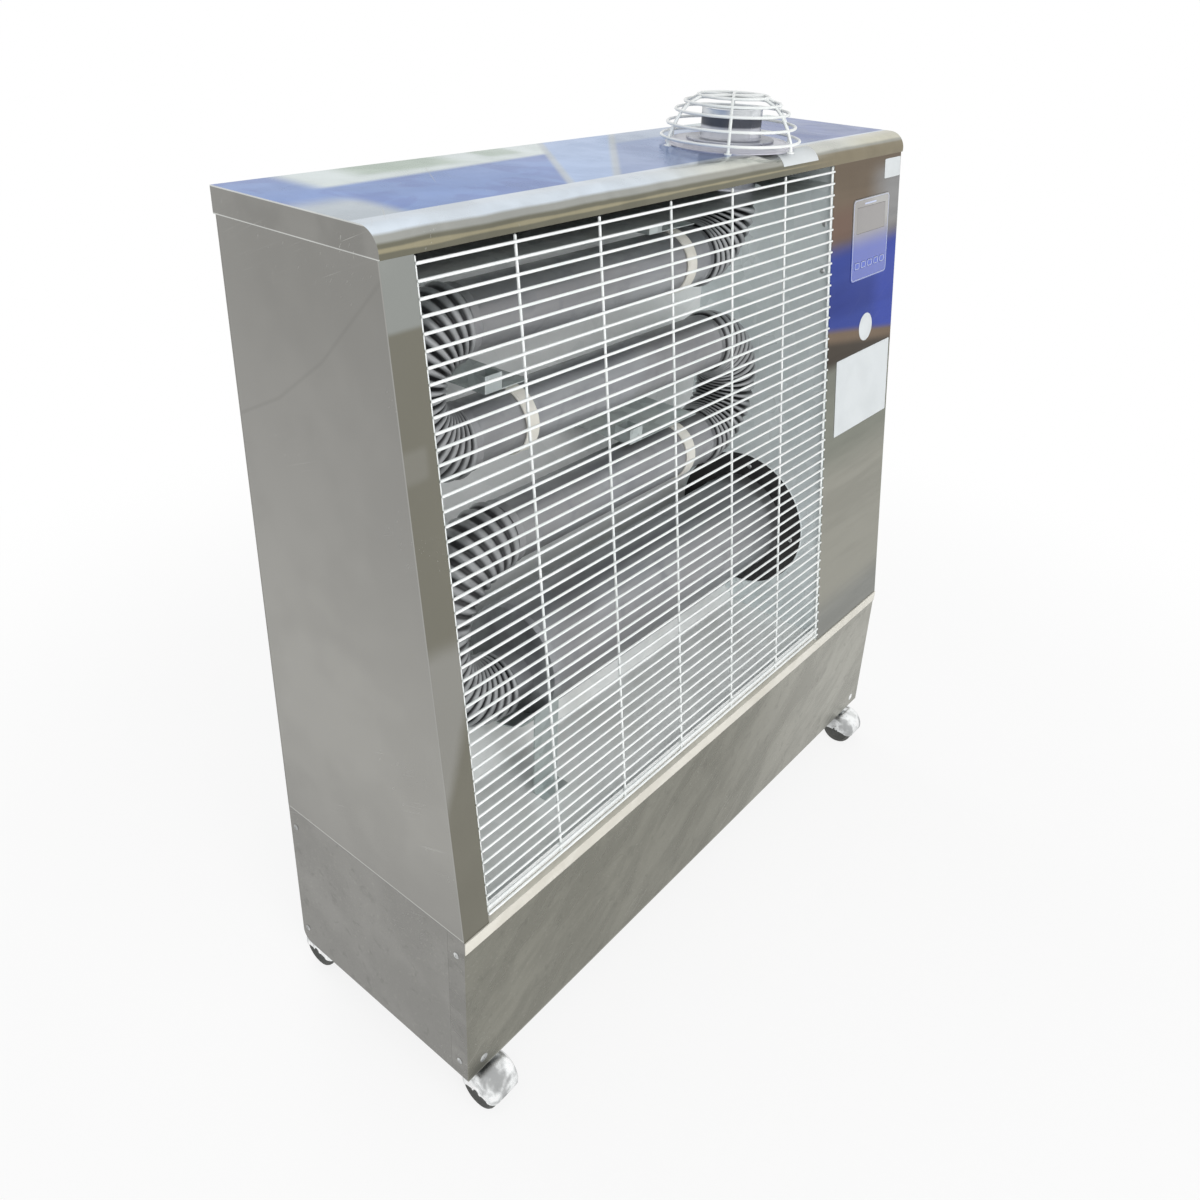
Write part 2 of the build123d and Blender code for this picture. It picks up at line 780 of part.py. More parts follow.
# Flue collar: a pressed dish on the lid round the spigot
with BuildPart() as flue_collar:
    with BuildSketch(Plane.XY.offset(z_top)):
        with Locations((flue_x, tube_y)):
            RegularPolygon(collar_radius, round_sides)
    extrude(amount=sheet)
    with BuildSketch(Plane.XY.offset(z_top + sheet)):
        with Locations((flue_x, tube_y)):
            RegularPolygon(collar_radius, round_sides)
    with BuildSketch(Plane.XY.offset(collar_top)):
        with Locations((flue_x, tube_y)):
            RegularPolygon(collar_radius - collar_height, round_sides)
    loft()
    with BuildSketch(Plane.XY.offset(z_top)):
        with Locations((flue_x, tube_y)):
            RegularPolygon(spigot_radius + seat_gap, tube_sides)
    extrude(amount=collar_height, mode=Mode.SUBTRACT)
save(flue_collar, "flue_collar")

# Flue guard: wire rings on ribs that meet over the top, with screwed feet
guard_top = z_top + guard_ring_heights[-1] + guard_wire
rib_path = [(guard_ring_radii[0], z_top + guard_foot_thickness)]
rib_path += [(r, z_top + h + guard_wire / 2) for r, h in zip(guard_ring_radii, guard_ring_heights)]
with BuildPart() as flue_guard:
    for ring_radius, ring_height in zip(guard_ring_radii, guard_ring_heights):
        with BuildSketch(Plane.XY.offset(z_top + ring_height)):
            with Locations((flue_x, tube_y)):
                RegularPolygon(ring_radius + guard_wire / 2, guard_sides)
                RegularPolygon(ring_radius - guard_wire / 2, guard_sides, mode=Mode.SUBTRACT)
        extrude(amount=guard_wire)
    half_wire = guard_wire / 2
    for rib in range(guard_ribs):
        turn = guard_rib_turn + 360 / guard_ribs * rib
        rib_plane = Plane(
            origin=(flue_x, tube_y, 0),
            x_dir=(cos(radians(turn)), sin(radians(turn)), 0),
            z_dir=(sin(radians(turn)), -cos(radians(turn)), 0),
        )
        with BuildSketch(rib_plane):
            with BuildLine():
                outer = [(r + half_wire, z) for r, z in rib_path[:-1]]
                crown = [
                    (guard_ring_radii[-1], guard_top),
                    (0, guard_top),
                    (0, guard_top - guard_wire),
                    (guard_ring_radii[-1], guard_top - guard_wire),
                ]
                inner = [(r - half_wire, z) for r, z in rib_path[-2::-1]]
                Polyline(*outer, *crown, *inner, close=True)
            make_face()
        extrude(amount=half_wire, both=True)
    with BuildSketch(Plane.XY.offset(z_top)):
        with Locations((flue_x, tube_y)):
            with PolarLocations(guard_ring_radii[0], guard_ribs, start_angle=guard_rib_turn):
                RegularPolygon(guard_foot_radius, screw_sides)
    extrude(amount=guard_foot_thickness)
save(flue_guard, "flue_guard")

# Front grille: cross wires in front of the uprights, in a frame that leans with the cabinet
wire_radius = grille_wire / 2
cross_inset = wire_radius - wire_set_forward
upright_inset = cross_inset + grille_wire
upright_foot = frame_foot_height - grille_wire
upright_top = first_cross_height + upright_rise
upright_span = grille_right - grille_left - grille_wire - seat_gap
with BuildPart() as front_grille:
    with BuildSketch(Plane.YZ.offset(grille_left)):
        for i in range(cross_wires):
            cross_height = first_cross_height - i * grille_pitch
            with Locations((front_y(cross_height, cross_inset), cross_height)):
                RegularPolygon(wire_radius, wire_sides)
        with Locations((front_y(frame_foot_height, cross_inset), frame_foot_height)):
            RegularPolygon(wire_radius, wire_sides)
    extrude(amount=grille_right - grille_left)
    foot_point = (grille_left + wire_radius, front_y(upright_foot, upright_inset), upright_foot)
    with BuildSketch(Plane(origin=foot_point, x_dir=(1, 0, 0), z_dir=tuple(up_slope))):
        for i in range(uprights + 2):
            with Locations((i * upright_span / (uprights + 1), 0)):
                RegularPolygon(wire_radius, wire_sides)
    extrude(amount=(upright_top - upright_foot) * lean)
save(front_grille, "front_grille")


def screw_heads(label, planes, radius, height, sides):
    # Screw heads, one separate solid on each plane
    with BuildPart() as heads:
        for plane in planes:
            with BuildSketch(plane):
                RegularPolygon(radius, sides)
            extrude(amount=height)
    save(heads, label)


# Grille foot screws on the chamber lip
lip_face = lip_inset - thin_sheet
grille_planes = [front_plane(x, z_chamber + grille_screw_lift, lip_face) for x in grille_screw_places]
screw_heads("grille_screws", grille_planes, small_screw_radius, small_screw_height, screw_sides)

# Cabinet screws: base sides, rear panel, partition and the ring round the drum
cabinet_planes = []
for side in (-1, 1):
    for screw_y in (half_depth - side_screw_inset, -half_depth + cover_wrap / 2):
        for level in (z_base + side_screw_low, z_base + side_screw_high):
            cabinet_planes.append(Plane(origin=(side * half_width, screw_y, level), z_dir=(side, 0, 0)))
    for i in range(rear_screw_count):
        level = z_seam + side_screw_low + i * (body_height - 2 * side_screw_low) / (rear_screw_count - 1)
        rear_x = side * (half_width - flange_width / 2)
        cabinet_planes.append(Plane(origin=(rear_x, half_depth, level), z_dir=(0, 1, 0)))
for screw_y, level in partition_screws:
    cabinet_planes.append(Plane(origin=(partition_x, screw_y, level), z_dir=(-1, 0, 0)))
for i in range(flange_screw_count):
    turn = radians(flange_screw_turn + 360 / flange_screw_count * i)
    screw_y = tube_y + flange_screw_circle * cos(turn)
    level = drum_height + flange_screw_circle * sin(turn)
    cabinet_planes.append(Plane(origin=(flange_x, screw_y, level), z_dir=(-1, 0, 0)))
screw_heads("cabinet_screws", cabinet_planes, screw_radius, screw_height, screw_sides)

# Washer-head screws low on the base front
washer_planes = []
for side in (-1, 1):
    washer_x = side * (half_width - washer_inset)
    washer_planes.append(Plane(origin=(washer_x, -half_depth, z_base + washer_lift), z_dir=(0, -1, 0)))
screw_heads("base_front_screws", washer_planes, washer_radius, washer_height, washer_sides)

# Mains inlet gland at the foot of the rear panel: a hexagon nut and a round dome nut with a bore
with BuildPart() as power_inlet:
    with BuildSketch(Plane.XZ.offset(-half_depth)):
        with Locations((gland_x, z_seam + gland_lift)):
            RegularPolygon(gland_nut_radius, 6)
            RegularPolygon(gland_bore, small_sides, mode=Mode.SUBTRACT)
    extrude(amount=-gland_nut_length)
    with BuildSketch(Plane.XZ.offset(-half_depth - gland_nut_length)):
        with Locations((gland_x, z_seam + gland_lift)):
            RegularPolygon(gland_dome_radius, small_sides)
            RegularPolygon(gland_bore, small_sides, mode=Mode.SUBTRACT)
    extrude(amount=-gland_dome_length)
save(power_inlet, "power_inlet")

# Burner head: blast tube into the drum, round air box on the flange, and the nozzle on its vanes
head_left = flange_x + mount_flange_thickness
head_right = head_left + burner_head_length
nozzle_left = head_left - blast_reach + nozzle_setback
vane_reach = blast_tube_radius - tube_wall / 2
with BuildPart() as burner_head:
    with BuildSketch(Plane.YZ.offset(head_left)):
        with Locations((tube_y, drum_height)):
            RegularPolygon(mount_flange_radius - head_plate_inset, round_sides)
    extrude(amount=2 * sheet)
    with BuildSketch(Plane.YZ.offset(head_left)):
        with Locations((tube_y, drum_height)):
            RegularPolygon(burner_head_radius, round_sides)
    extrude(amount=burner_head_length)
    with BuildSketch(Plane.YZ.offset(head_left - blast_reach)):
        with Locations((tube_y, drum_height)):
            RegularPolygon(blast_tube_radius, tube_sides)
    extrude(amount=blast_reach)
    with BuildSketch(Plane.YZ.offset(head_left - blast_reach)):
        with Locations((tube_y, drum_height)):
            RegularPolygon(blast_tube_radius - tube_wall, tube_sides)
    extrude(amount=blast_reach + burner_head_length, mode=Mode.SUBTRACT)
    with BuildSketch(Plane.YZ.offset(nozzle_left)):
        with Locations((tube_y, drum_height)):
            RegularPolygon(nozzle_radius, 6)
    extrude(amount=nozzle_length)
    with BuildSketch(Plane.YZ.offset(nozzle_left + nozzle_length)):
        with Locations((tube_y, drum_height)):
            RegularPolygon(nozzle_radius - nozzle_step, small_sides)
            with PolarLocations(vane_reach / 2, 3, start_angle=90):
                Rectangle(vane_reach, tube_wall)
    extrude(amount=blast_reach - nozzle_setback)
save(burner_head, "burner_head")

# Blower housing: a round scroll with its outlet into the burner head and an inlet eye
blower_left = head_right
blower_right = blower_left + blower_width
with BuildPart() as blower_housing:
    with BuildSketch(Plane.YZ.offset(blower_left)):
        with Locations((tube_y, drum_height)):
            RegularPolygon(blower_radius, round_sides)
    extrude(amount=blower_width)
    with BuildSketch(Plane.YZ.offset(blower_left + blower_wall)):
        with Locations((tube_y, drum_height)):
            RegularPolygon(blower_radius - blower_wall, round_sides)
    extrude(amount=blower_width - 2 * blower_wall, mode=Mode.SUBTRACT)
    with BuildSketch(Plane.YZ.offset(blower_left)):
        with Locations((tube_y, drum_height)):
            RegularPolygon(blast_tube_radius - tube_wall, tube_sides)
    extrude(amount=blower_wall, mode=Mode.SUBTRACT)
    with BuildSketch(Plane.YZ.offset(blower_right - blower_wall)):
        with Locations((tube_y, drum_height)):
            RegularPolygon(inlet_radius, tube_sides)
    extrude(amount=blower_wall, mode=Mode.SUBTRACT)
    # Arms across the inlet eye carry the motor
    with BuildSketch(Plane.YZ.offset(blower_right)):
        with Locations((tube_y, drum_height)):
            with PolarLocations(inlet_radius - motor_arm_seat, 3, start_angle=30):
                Rectangle(motor_arm_length, motor_arm_width)
    extrude(amount=motor_arm_thickness)
save(blower_housing, "blower_housing")

# Blower motor: a stepped can on the arms, with a bore for its shaft
motor_left = blower_right + motor_arm_thickness
bore_radius = shaft_radius + running_clearance
with BuildPart() as blower_motor:
    with BuildSketch(Plane.YZ.offset(motor_left)):
        with Locations((tube_y, drum_height)):
            RegularPolygon(motor_radius, tube_sides)
            RegularPolygon(bore_radius, axle_sides, major_radius=False, mode=Mode.SUBTRACT)
    extrude(amount=motor_length - motor_cap_length)
    with BuildSketch(Plane.YZ.offset(motor_left + motor_length - motor_cap_length)):
        with Locations((tube_y, drum_height)):
            RegularPolygon(motor_radius - motor_cap_step, tube_sides)
    extrude(amount=motor_cap_length)
save(blower_motor, "blower_motor")

# Blower wheel: back plate, front rim, turned blades between them, and a hub on the shaft
wheel_left = blower_left + (blower_width - blower_wheel_width) / 2
wheel_right = wheel_left + blower_wheel_width
with BuildPart() as blower_wheel:
    with BuildSketch(Plane.YZ.offset(wheel_left)):
        with Locations((tube_y, drum_height)):
            RegularPolygon(blower_wheel_radius, 2 * blade_count)
            RegularPolygon(shaft_radius, axle_sides, mode=Mode.SUBTRACT)
    extrude(amount=rim_thickness)
    with BuildSketch(Plane.YZ.offset(wheel_right)):
        with Locations((tube_y, drum_height)):
            RegularPolygon(blower_wheel_radius, 2 * blade_count)
            RegularPolygon(blower_wheel_radius - blade_depth, 2 * blade_count, mode=Mode.SUBTRACT)
    extrude(amount=-rim_thickness)
    with BuildSketch(Plane.YZ.offset(wheel_left)):
        with Locations((tube_y, drum_height)):
            with PolarLocations(blower_wheel_radius - blade_depth / 2 - blade_thickness, blade_count):
                Rectangle(blade_depth - blade_thickness, blade_thickness, rotation=blade_turn)
    extrude(amount=blower_wheel_width)
    with BuildSketch(Plane.YZ.offset(wheel_left)):
        with Locations((tube_y, drum_height)):
            RegularPolygon(shaft_radius + hub_wall, small_sides)
            RegularPolygon(shaft_radius, axle_sides, mode=Mode.SUBTRACT)
    extrude(amount=hub_length)
save(blower_wheel, "blower_wheel")

# Motor shaft from the wheel's hub into the motor
with BuildPart() as motor_shaft:
    with BuildSketch(Plane.YZ.offset(wheel_left)):
        with Locations((tube_y, drum_height)):
            RegularPolygon(shaft_radius, axle_sides)
    extrude(amount=motor_left + motor_length - motor_cap_length - shaft_end_gap - wheel_left)
save(motor_shaft, "motor_shaft")

# Ignition transformer on the partition above the burner
transformer_level = drum_height + mount_flange_radius + transformer_lift
with BuildPart() as ignition_transformer:
    with BuildSketch(Plane.YZ.offset(partition_x + thin_sheet)):
        with Locations((tube_y, transformer_level)):
            Rectangle(transformer_size[0], transformer_size[1], align=(Align.CENTER, Align.MIN))
    extrude(amount=transformer_size[2])
    chamfer(ignition_transformer.edges().filter_by(Axis.X), transformer_edge)
save(ignition_transformer, "ignition_transformer")

# Control board on standoffs, inside the right wall, with plain blocks for its components
board_x = half_width - sheet - board_gap
board_level = z_seam + board_lift
with BuildPart() as control_board:
    with BuildSketch(Plane.YZ.offset(board_x)):
        with Locations((board_y, board_level)):
            Rectangle(board_width, board_height)
    extrude(amount=-board_thickness)
    with BuildSketch(Plane.YZ.offset(board_x)):
        with Locations((board_y, board_level)):
            with GridLocations(board_width - standoff_inset, board_height - standoff_inset, 2, 2):
                RegularPolygon(standoff_radius, 6)
    extrude(amount=board_gap)
    with BuildSketch(Plane.YZ.offset(board_x - board_thickness)):
        with Locations((board_y, board_level)):
            with Locations(*relay_places):
                Rectangle(*relay_size)
            with Locations(supply_place):
                Rectangle(*supply_size)
    extrude(amount=-component_height)
save(control_board, "control_board")

# Fuel tank: rounded shell on the pan, with the neck out through the rear wall
tank_x = (tank_left + tank_right) / 2
tank_length = tank_right - tank_left
tank_floor = z_base + sheet
tank_top = tank_floor + tank_height
neck_z = z_seam - neck_drop
neck_end = half_depth + neck_reach
neck_length = neck_end - tank_depth / 2
with BuildPart() as fuel_tank:
    with BuildSketch(Plane.XY.offset(tank_floor)):
        with Locations((tank_x, 0)):
            RectangleRounded(tank_length, tank_depth, tank_corner)
    extrude(amount=tank_height)
    with BuildSketch(Plane.XZ.offset(-neck_end)):
        with Locations((neck_x, neck_z)):
            RegularPolygon(neck_radius, 2 * cap_ribs)
    extrude(amount=neck_length)
    with BuildSketch(Plane.XY.offset(tank_floor + tank_wall)):
        with Locations((tank_x, 0)):
            RectangleRounded(tank_length - 2 * tank_wall, tank_depth - 2 * tank_wall, tank_corner - tank_wall)
    extrude(amount=tank_height - 2 * tank_wall, mode=Mode.SUBTRACT)
    with BuildSketch(Plane.XZ.offset(-neck_end)):
        with Locations((neck_x, neck_z)):
            RegularPolygon(neck_radius - neck_wall, 2 * cap_ribs)
    extrude(amount=neck_length + 2 * tank_wall, mode=Mode.SUBTRACT)
save(fuel_tank, "fuel_tank")

# Filler cap seal on the end of the neck
with BuildPart() as fuel_cap_seal:
    with BuildSketch(Plane.XZ.offset(-neck_end)):
        with Locations((neck_x, neck_z)):
            RegularPolygon(neck_radius, 2 * cap_ribs)
            RegularPolygon(neck_radius - neck_wall, 2 * cap_ribs, mode=Mode.SUBTRACT)
    extrude(amount=-seal_thickness)
save(fuel_cap_seal, "fuel_cap_seal")

# Filler cap: a ribbed cup over the seal
cap_top = neck_end + seal_thickness + cap_wall
with BuildPart() as fuel_cap:
    with BuildSketch(Plane.XZ.offset(-cap_top)):
        with Locations((neck_x, neck_z)):
            RegularPolygon(cap_radius, 2 * cap_ribs)
            with PolarLocations(cap_radius, cap_ribs):
                Rectangle(cap_rib_size, cap_rib_size)
    extrude(amount=cap_height)
    with BuildSketch(Plane.XZ.offset(-cap_top + cap_wall)):
        with Locations((neck_x, neck_z)):
            RegularPolygon(neck_radius + cap_clearance, 2 * cap_ribs, major_radius=False)
    extrude(amount=cap_height, mode=Mode.SUBTRACT)
save(fuel_cap, "fuel_cap")

# Fuel pump: a solenoid can on the partition, with its bracket
pump_x = flange_x + pump_radius + seat_gap
pump_z = z_seam + pump_lift
with BuildPart() as fuel_pump:
    with BuildSketch(Plane.XZ.offset(-pump_y)):
        with Locations((pump_x, pump_z)):
            RegularPolygon(pump_radius, small_sides)
    extrude(amount=pump_length / 2, both=True)
    with BuildSketch(Plane.XZ.offset(-pump_y)):
        with Locations((flange_x, pump_z)):
            Rectangle(pump_radius, pump_radius, align=(Align.MIN, Align.CENTER))
    extrude(amount=pump_radius / 2, both=True)
save(fuel_pump, "fuel_pump")

# Fuel pipes: suction pipe from the tank up to the pump, feed pipe from the pump to the burner head
pump_front = pump_y - pump_length / 2
pump_rear = pump_y + pump_length / 2
head_bottom = drum_height - burner_head_radius
suction_y = pump_front - 1.5 * pipe_bend
with BuildPart() as fuel_pipe:
    with BuildLine():
        FilletPolyline(
            (pump_x, suction_y, tank_top),
            (pump_x, suction_y, pump_z),
            (pump_x, pump_front, pump_z),
            radius=pipe_bend,
        )
    with BuildSketch(Plane.XY.offset(tank_top)):
        with Locations((pump_x, suction_y)):
            RegularPolygon(pipe_radius, wire_sides)
    sweep()
    with BuildLine():
        FilletPolyline(
            (pump_x, pump_rear, pump_z),
            (pump_x, tube_y, pump_z),
            (pump_x, tube_y, head_bottom),
            radius=pipe_bend,
        )
    with BuildSketch(Plane.XZ.offset(-pump_rear)):
        with Locations((pump_x, pump_z)):
            RegularPolygon(pipe_radius, wire_sides)
    sweep()
save(fuel_pipe, "fuel_pipe")

# Caster plates under the pan, each with its kingpin
plate_bottom = z_base - plate_thickness
with BuildPart() as caster_plates:
    with BuildSketch(Plane.XY.offset(plate_bottom)):
        with GridLocations(2 * caster_x, 2 * caster_y, 2, 2):
            Rectangle(plate_size, plate_size)
    extrude(amount=plate_thickness)
    with BuildSketch(Plane.XY.offset(plate_bottom)):
        with GridLocations(2 * caster_x, 2 * caster_y, 2, 2):
            RegularPolygon(kingpin_radius, kingpin_sides)
    extrude(amount=-kingpin_length)
save(caster_plates, "caster_plates")

# Casters: a plated hood with web and neck, and a pair of wheels on its axle
wheel_inner = web_half_width + wheel_play
wheel_outer = wheel_inner + wheel_width
hood_inner = wheel_outer + wheel_play
hood_half_width = hood_inner + hood_wall
hood_radius = wheel_radius + wheel_play + hood_wall
neck_top = plate_bottom - seat_gap


def crowned_disc(start, face, centre_y, radius, length):
    # A disc square to X at wheel height whose outer rim is chamfered
    with BuildPart() as disc:
        with BuildSketch(Plane.YZ.offset(start)):
            with Locations((centre_y, wheel_radius)):
                RegularPolygon(radius, wheel_sides, major_radius=False, rotation=wheel_turn)
        extrude(amount=face * length)
        rim = disc.faces().sort_by(Axis.X)[-1 if face > 0 else 0]
        chamfer(rim.edges(), wheel_crown)
    return disc.part


for index, (side, end) in enumerate(((-1, -1), (1, -1), (-1, 1), (1, 1))):
    pivot_x = side * caster_x
    pivot_y = end * caster_y
    hub_y = pivot_y + end * caster_trail
    with BuildPart() as caster_hood:
        for face in (-1, 1):
            add(crowned_disc(pivot_x, face, hub_y, hood_radius, hood_half_width))
        # Neck round the kingpin
        with BuildSketch(Plane.XY.offset(neck_top)):
            with Locations((pivot_x, pivot_y)):
                RegularPolygon(neck_boss_radius, kingpin_sides)
        extrude(amount=-neck_boss_length)
        # The hood ends a little under the axle
        with BuildSketch(Plane.XY.offset(wheel_radius - hood_skirt)):
            with Locations((pivot_x, hub_y)):
                Rectangle(3 * hood_radius, 3 * hood_radius)
        extrude(amount=-2 * hood_radius, mode=Mode.SUBTRACT)
        # Room for the two wheels, one on each side of the web
        for face in (-1, 1):
            room_start = pivot_x + face * web_half_width
            room_length = hood_inner - web_half_width
            room = crowned_disc(room_start, face, hub_y, hood_radius - hood_wall, room_length)
            add(room, mode=Mode.SUBTRACT)
        # Axle and kingpin bore
        with BuildSketch(Plane.YZ.offset(pivot_x - wheel_outer)):
            with Locations((hub_y, wheel_radius)):
                RegularPolygon(axle_radius, axle_sides)
        extrude(amount=2 * wheel_outer)
        with BuildSketch(Plane.XY.offset(neck_top)):
            with Locations((pivot_x, pivot_y)):
                RegularPolygon(kingpin_radius + running_clearance, kingpin_sides, major_radius=False)
        extrude(amount=-kingpin_length - seat_gap, mode=Mode.SUBTRACT)
    save(caster_hood, f"caster_{index + 1}_hood")

    with BuildPart() as caster_wheels:
        for face in (-1, 1):
            add(crowned_disc(pivot_x + face * wheel_inner, face, hub_y, wheel_radius, wheel_width))
        with BuildSketch(Plane.YZ.offset(pivot_x - wheel_outer)):
            with Locations((hub_y, wheel_radius)):
                RegularPolygon(axle_radius + running_clearance, axle_sides, major_radius=False)
        extrude(amount=2 * wheel_outer, mode=Mode.SUBTRACT)
    save(caster_wheels, f"caster_{index + 1}_wheels")
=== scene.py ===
"""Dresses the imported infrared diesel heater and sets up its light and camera.

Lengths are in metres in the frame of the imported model: X runs to the right, -Y is the front, Z is up.
Tones are given as they look on a screen, 0 to 255 a channel.
"""

import json
import logging
from dataclasses import dataclass
from enum import Enum
from functools import partial

import bmesh
import bpy
import numpy as np
from mathutils import Matrix, Vector


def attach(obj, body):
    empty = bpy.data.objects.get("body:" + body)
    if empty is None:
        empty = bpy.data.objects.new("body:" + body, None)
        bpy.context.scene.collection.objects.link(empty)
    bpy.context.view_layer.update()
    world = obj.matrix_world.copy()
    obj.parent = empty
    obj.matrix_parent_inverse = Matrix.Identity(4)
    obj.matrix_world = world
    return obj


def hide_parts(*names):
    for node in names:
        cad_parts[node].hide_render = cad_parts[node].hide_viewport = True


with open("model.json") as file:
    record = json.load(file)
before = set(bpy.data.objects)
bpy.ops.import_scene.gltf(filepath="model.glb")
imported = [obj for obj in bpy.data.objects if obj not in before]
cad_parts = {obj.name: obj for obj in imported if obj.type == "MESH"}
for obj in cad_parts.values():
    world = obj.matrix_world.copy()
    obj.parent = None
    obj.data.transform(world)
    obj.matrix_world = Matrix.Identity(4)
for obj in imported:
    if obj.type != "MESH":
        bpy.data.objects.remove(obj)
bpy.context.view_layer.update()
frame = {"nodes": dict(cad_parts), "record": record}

LOG = logging.getLogger("heater")
Triple = tuple[float, float, float]
Tone = tuple[int, int, int]
Socket = bpy.types.NodeSocket
Tree = bpy.types.NodeTree
SOFT = 0.003
POLE = 1e-6
ONES = (1.0, 1.0, 1.0)
DARK_GRIT, PALE_GRIT, SCRATCH = (86, 86, 80), (188, 188, 178), (206, 206, 202)
SHEET_DUST, ZINC_DUST, PAINT_DUST = (184, 184, 178), (206, 206, 200), (178, 177, 170)
THICK_EDGE, THIN_EDGE = 0.0004, 0.0002
WELD_REACH, FLAT_ANGLE, FOLD_ANGLE, BEVEL_STEPS = 2e-6, 0.01, 0.5, 2
PATH_Y, DRUM_LEVEL, PARTITION_X = 0.008, 0.430, 0.268


def linear(tone: Tone) -> Triple:
    """Turns a tone of the screen into the linear values that shaders take.

    Args:
        tone: Red, green and blue.

    Returns:
        The three linear values.
    """
    seen = np.array(tone, float) / 255
    return tuple(np.where(seen <= 0.04045, seen / 12.92, ((seen + 0.055) / 1.055) ** 2.4).tolist())


class Slot(Enum):
    """Material slots of the record."""

    STAINLESS = "cabinet_stainless"
    ZINC = "galvanised"
    REFLECTOR = "reflector_bright"
    TUBE = "tube_steel"
    DARK = "dark_steel"
    WIRE = "wire_white"
    STRIP = "strip_beige"
    STRAP = "strap_cream"
    PLATED = "plated"
    TREAD = "tread"
    DISPLAY = "display_black"
    KEY = "key_grey"
    LENS = "lens"
    PLASTIC = "black_plastic"
    BOARD = "board"
    TANK = "tank_steel"
    SEAL = "seal_rubber"
    MOTOR = "motor_paint"
    CAST = "aluminium_cast"
    BRASS = "brass"


class Graph:
    """Short calls for building a shader node tree."""

    def __init__(self, tree: Tree) -> None:
        """Keeps the tree that nodes are added to."""
        self.tree = tree

    def feed(self, socket: Socket, value: object) -> None:
        """Links a socket to another, or writes a plain value on it."""
        if isinstance(value, Socket):
            self.tree.links.new(value, socket)
        elif hasattr(socket.default_value, "__len__") and len(socket.default_value) == 4:
            socket.default_value = (*value[:3], 1.0)
        else:
            socket.default_value = value

    def add(self, kind: str, feeds: dict | None = None, **settings: object) -> bpy.types.Node:
        """Adds a node.

        Args:
            kind: Blender's name of the node type.
            feeds: Input name or number, and the socket or value that feeds it.
            **settings: Properties of the node.

        Returns:
            The new node.
        """
        node = self.tree.nodes.new(kind)
        for name, value in settings.items():
            setattr(node, name, value)
        for name, value in (feeds or {}).items():
            self.feed(node.inputs[name], value)
        return node

    def math(self, operation: str, first: object, second: object = 0.0) -> Socket:
        """Adds a math node and returns its value."""
        return self.add("ShaderNodeMath", {0: first, 1: second}, operation=operation).outputs[0]

    def times(self, first: object, second: object) -> Socket:
        """The product of two values."""
        return self.math("MULTIPLY", first, second)

    def plus(self, first: object, second: object) -> Socket:
        """The sum of two values."""
        return self.math("ADD", first, second)

    def blend(self, factor: object, first: object, second: object, mode: str = "MIX") -> Socket:
        """Mixes two colours and returns the result."""
        feeds = {0: factor, 6: first, 7: second}
        return self.add("ShaderNodeMix", feeds, data_type="RGBA", blend_type=mode).outputs[2]

    def vector(self, operation: str, feeds: dict) -> Socket:
        """Adds a vector math node and returns its plain value."""
        return self.add("ShaderNodeVectorMath", feeds, operation=operation).outputs["Value"]

    def place(self, scale: Triple = ONES, turn: float = 0.0) -> Socket:
        """Object coordinates in metres, turned about Y and then stretched by scale."""
        where = self.add("ShaderNodeTexCoord").outputs["Object"]
        if turn:
            where = self.add("ShaderNodeMapping", {"Vector": where, "Rotation": (0.0, turn, 0.0)}).outputs[0]
        return self.add("ShaderNodeMapping", {"Vector": where, "Scale": scale}).outputs[0]

    def noise(self, where: Socket, scale: object, detail: float = 3.0, warp: float = 0.0) -> Socket:
        """Adds a noise and returns its value of about 0.3 to 0.7."""
        feeds = {"Vector": where, "Scale": scale, "Detail": detail, "Distortion": warp}
        return self.add("ShaderNodeTexNoise", feeds).outputs[0]

    def span(self, value: Socket, low: float, high: float, to_low: float = 0.0,
             to_high: float = 1.0) -> Socket:
        """Maps low to high smoothly onto to_low to to_high, clamped."""
        feeds = {"Value": value, "From Min": low, "From Max": high, "To Min": to_low, "To Max": to_high}
        return self.add("ShaderNodeMapRange", feeds, interpolation_type="SMOOTHSTEP").outputs[0]

    def bump(self, height: Socket, strength: float, distance: float, normal: Socket | None = None) -> Socket:
        """Turns a height of 0 to 1 into a normal, with distance in metres."""
        feeds = {"Height": height, "Strength": strength, "Distance": distance}
        if normal is not None:
            feeds["Normal"] = normal
        return self.add("ShaderNodeBump", feeds).outputs[0]


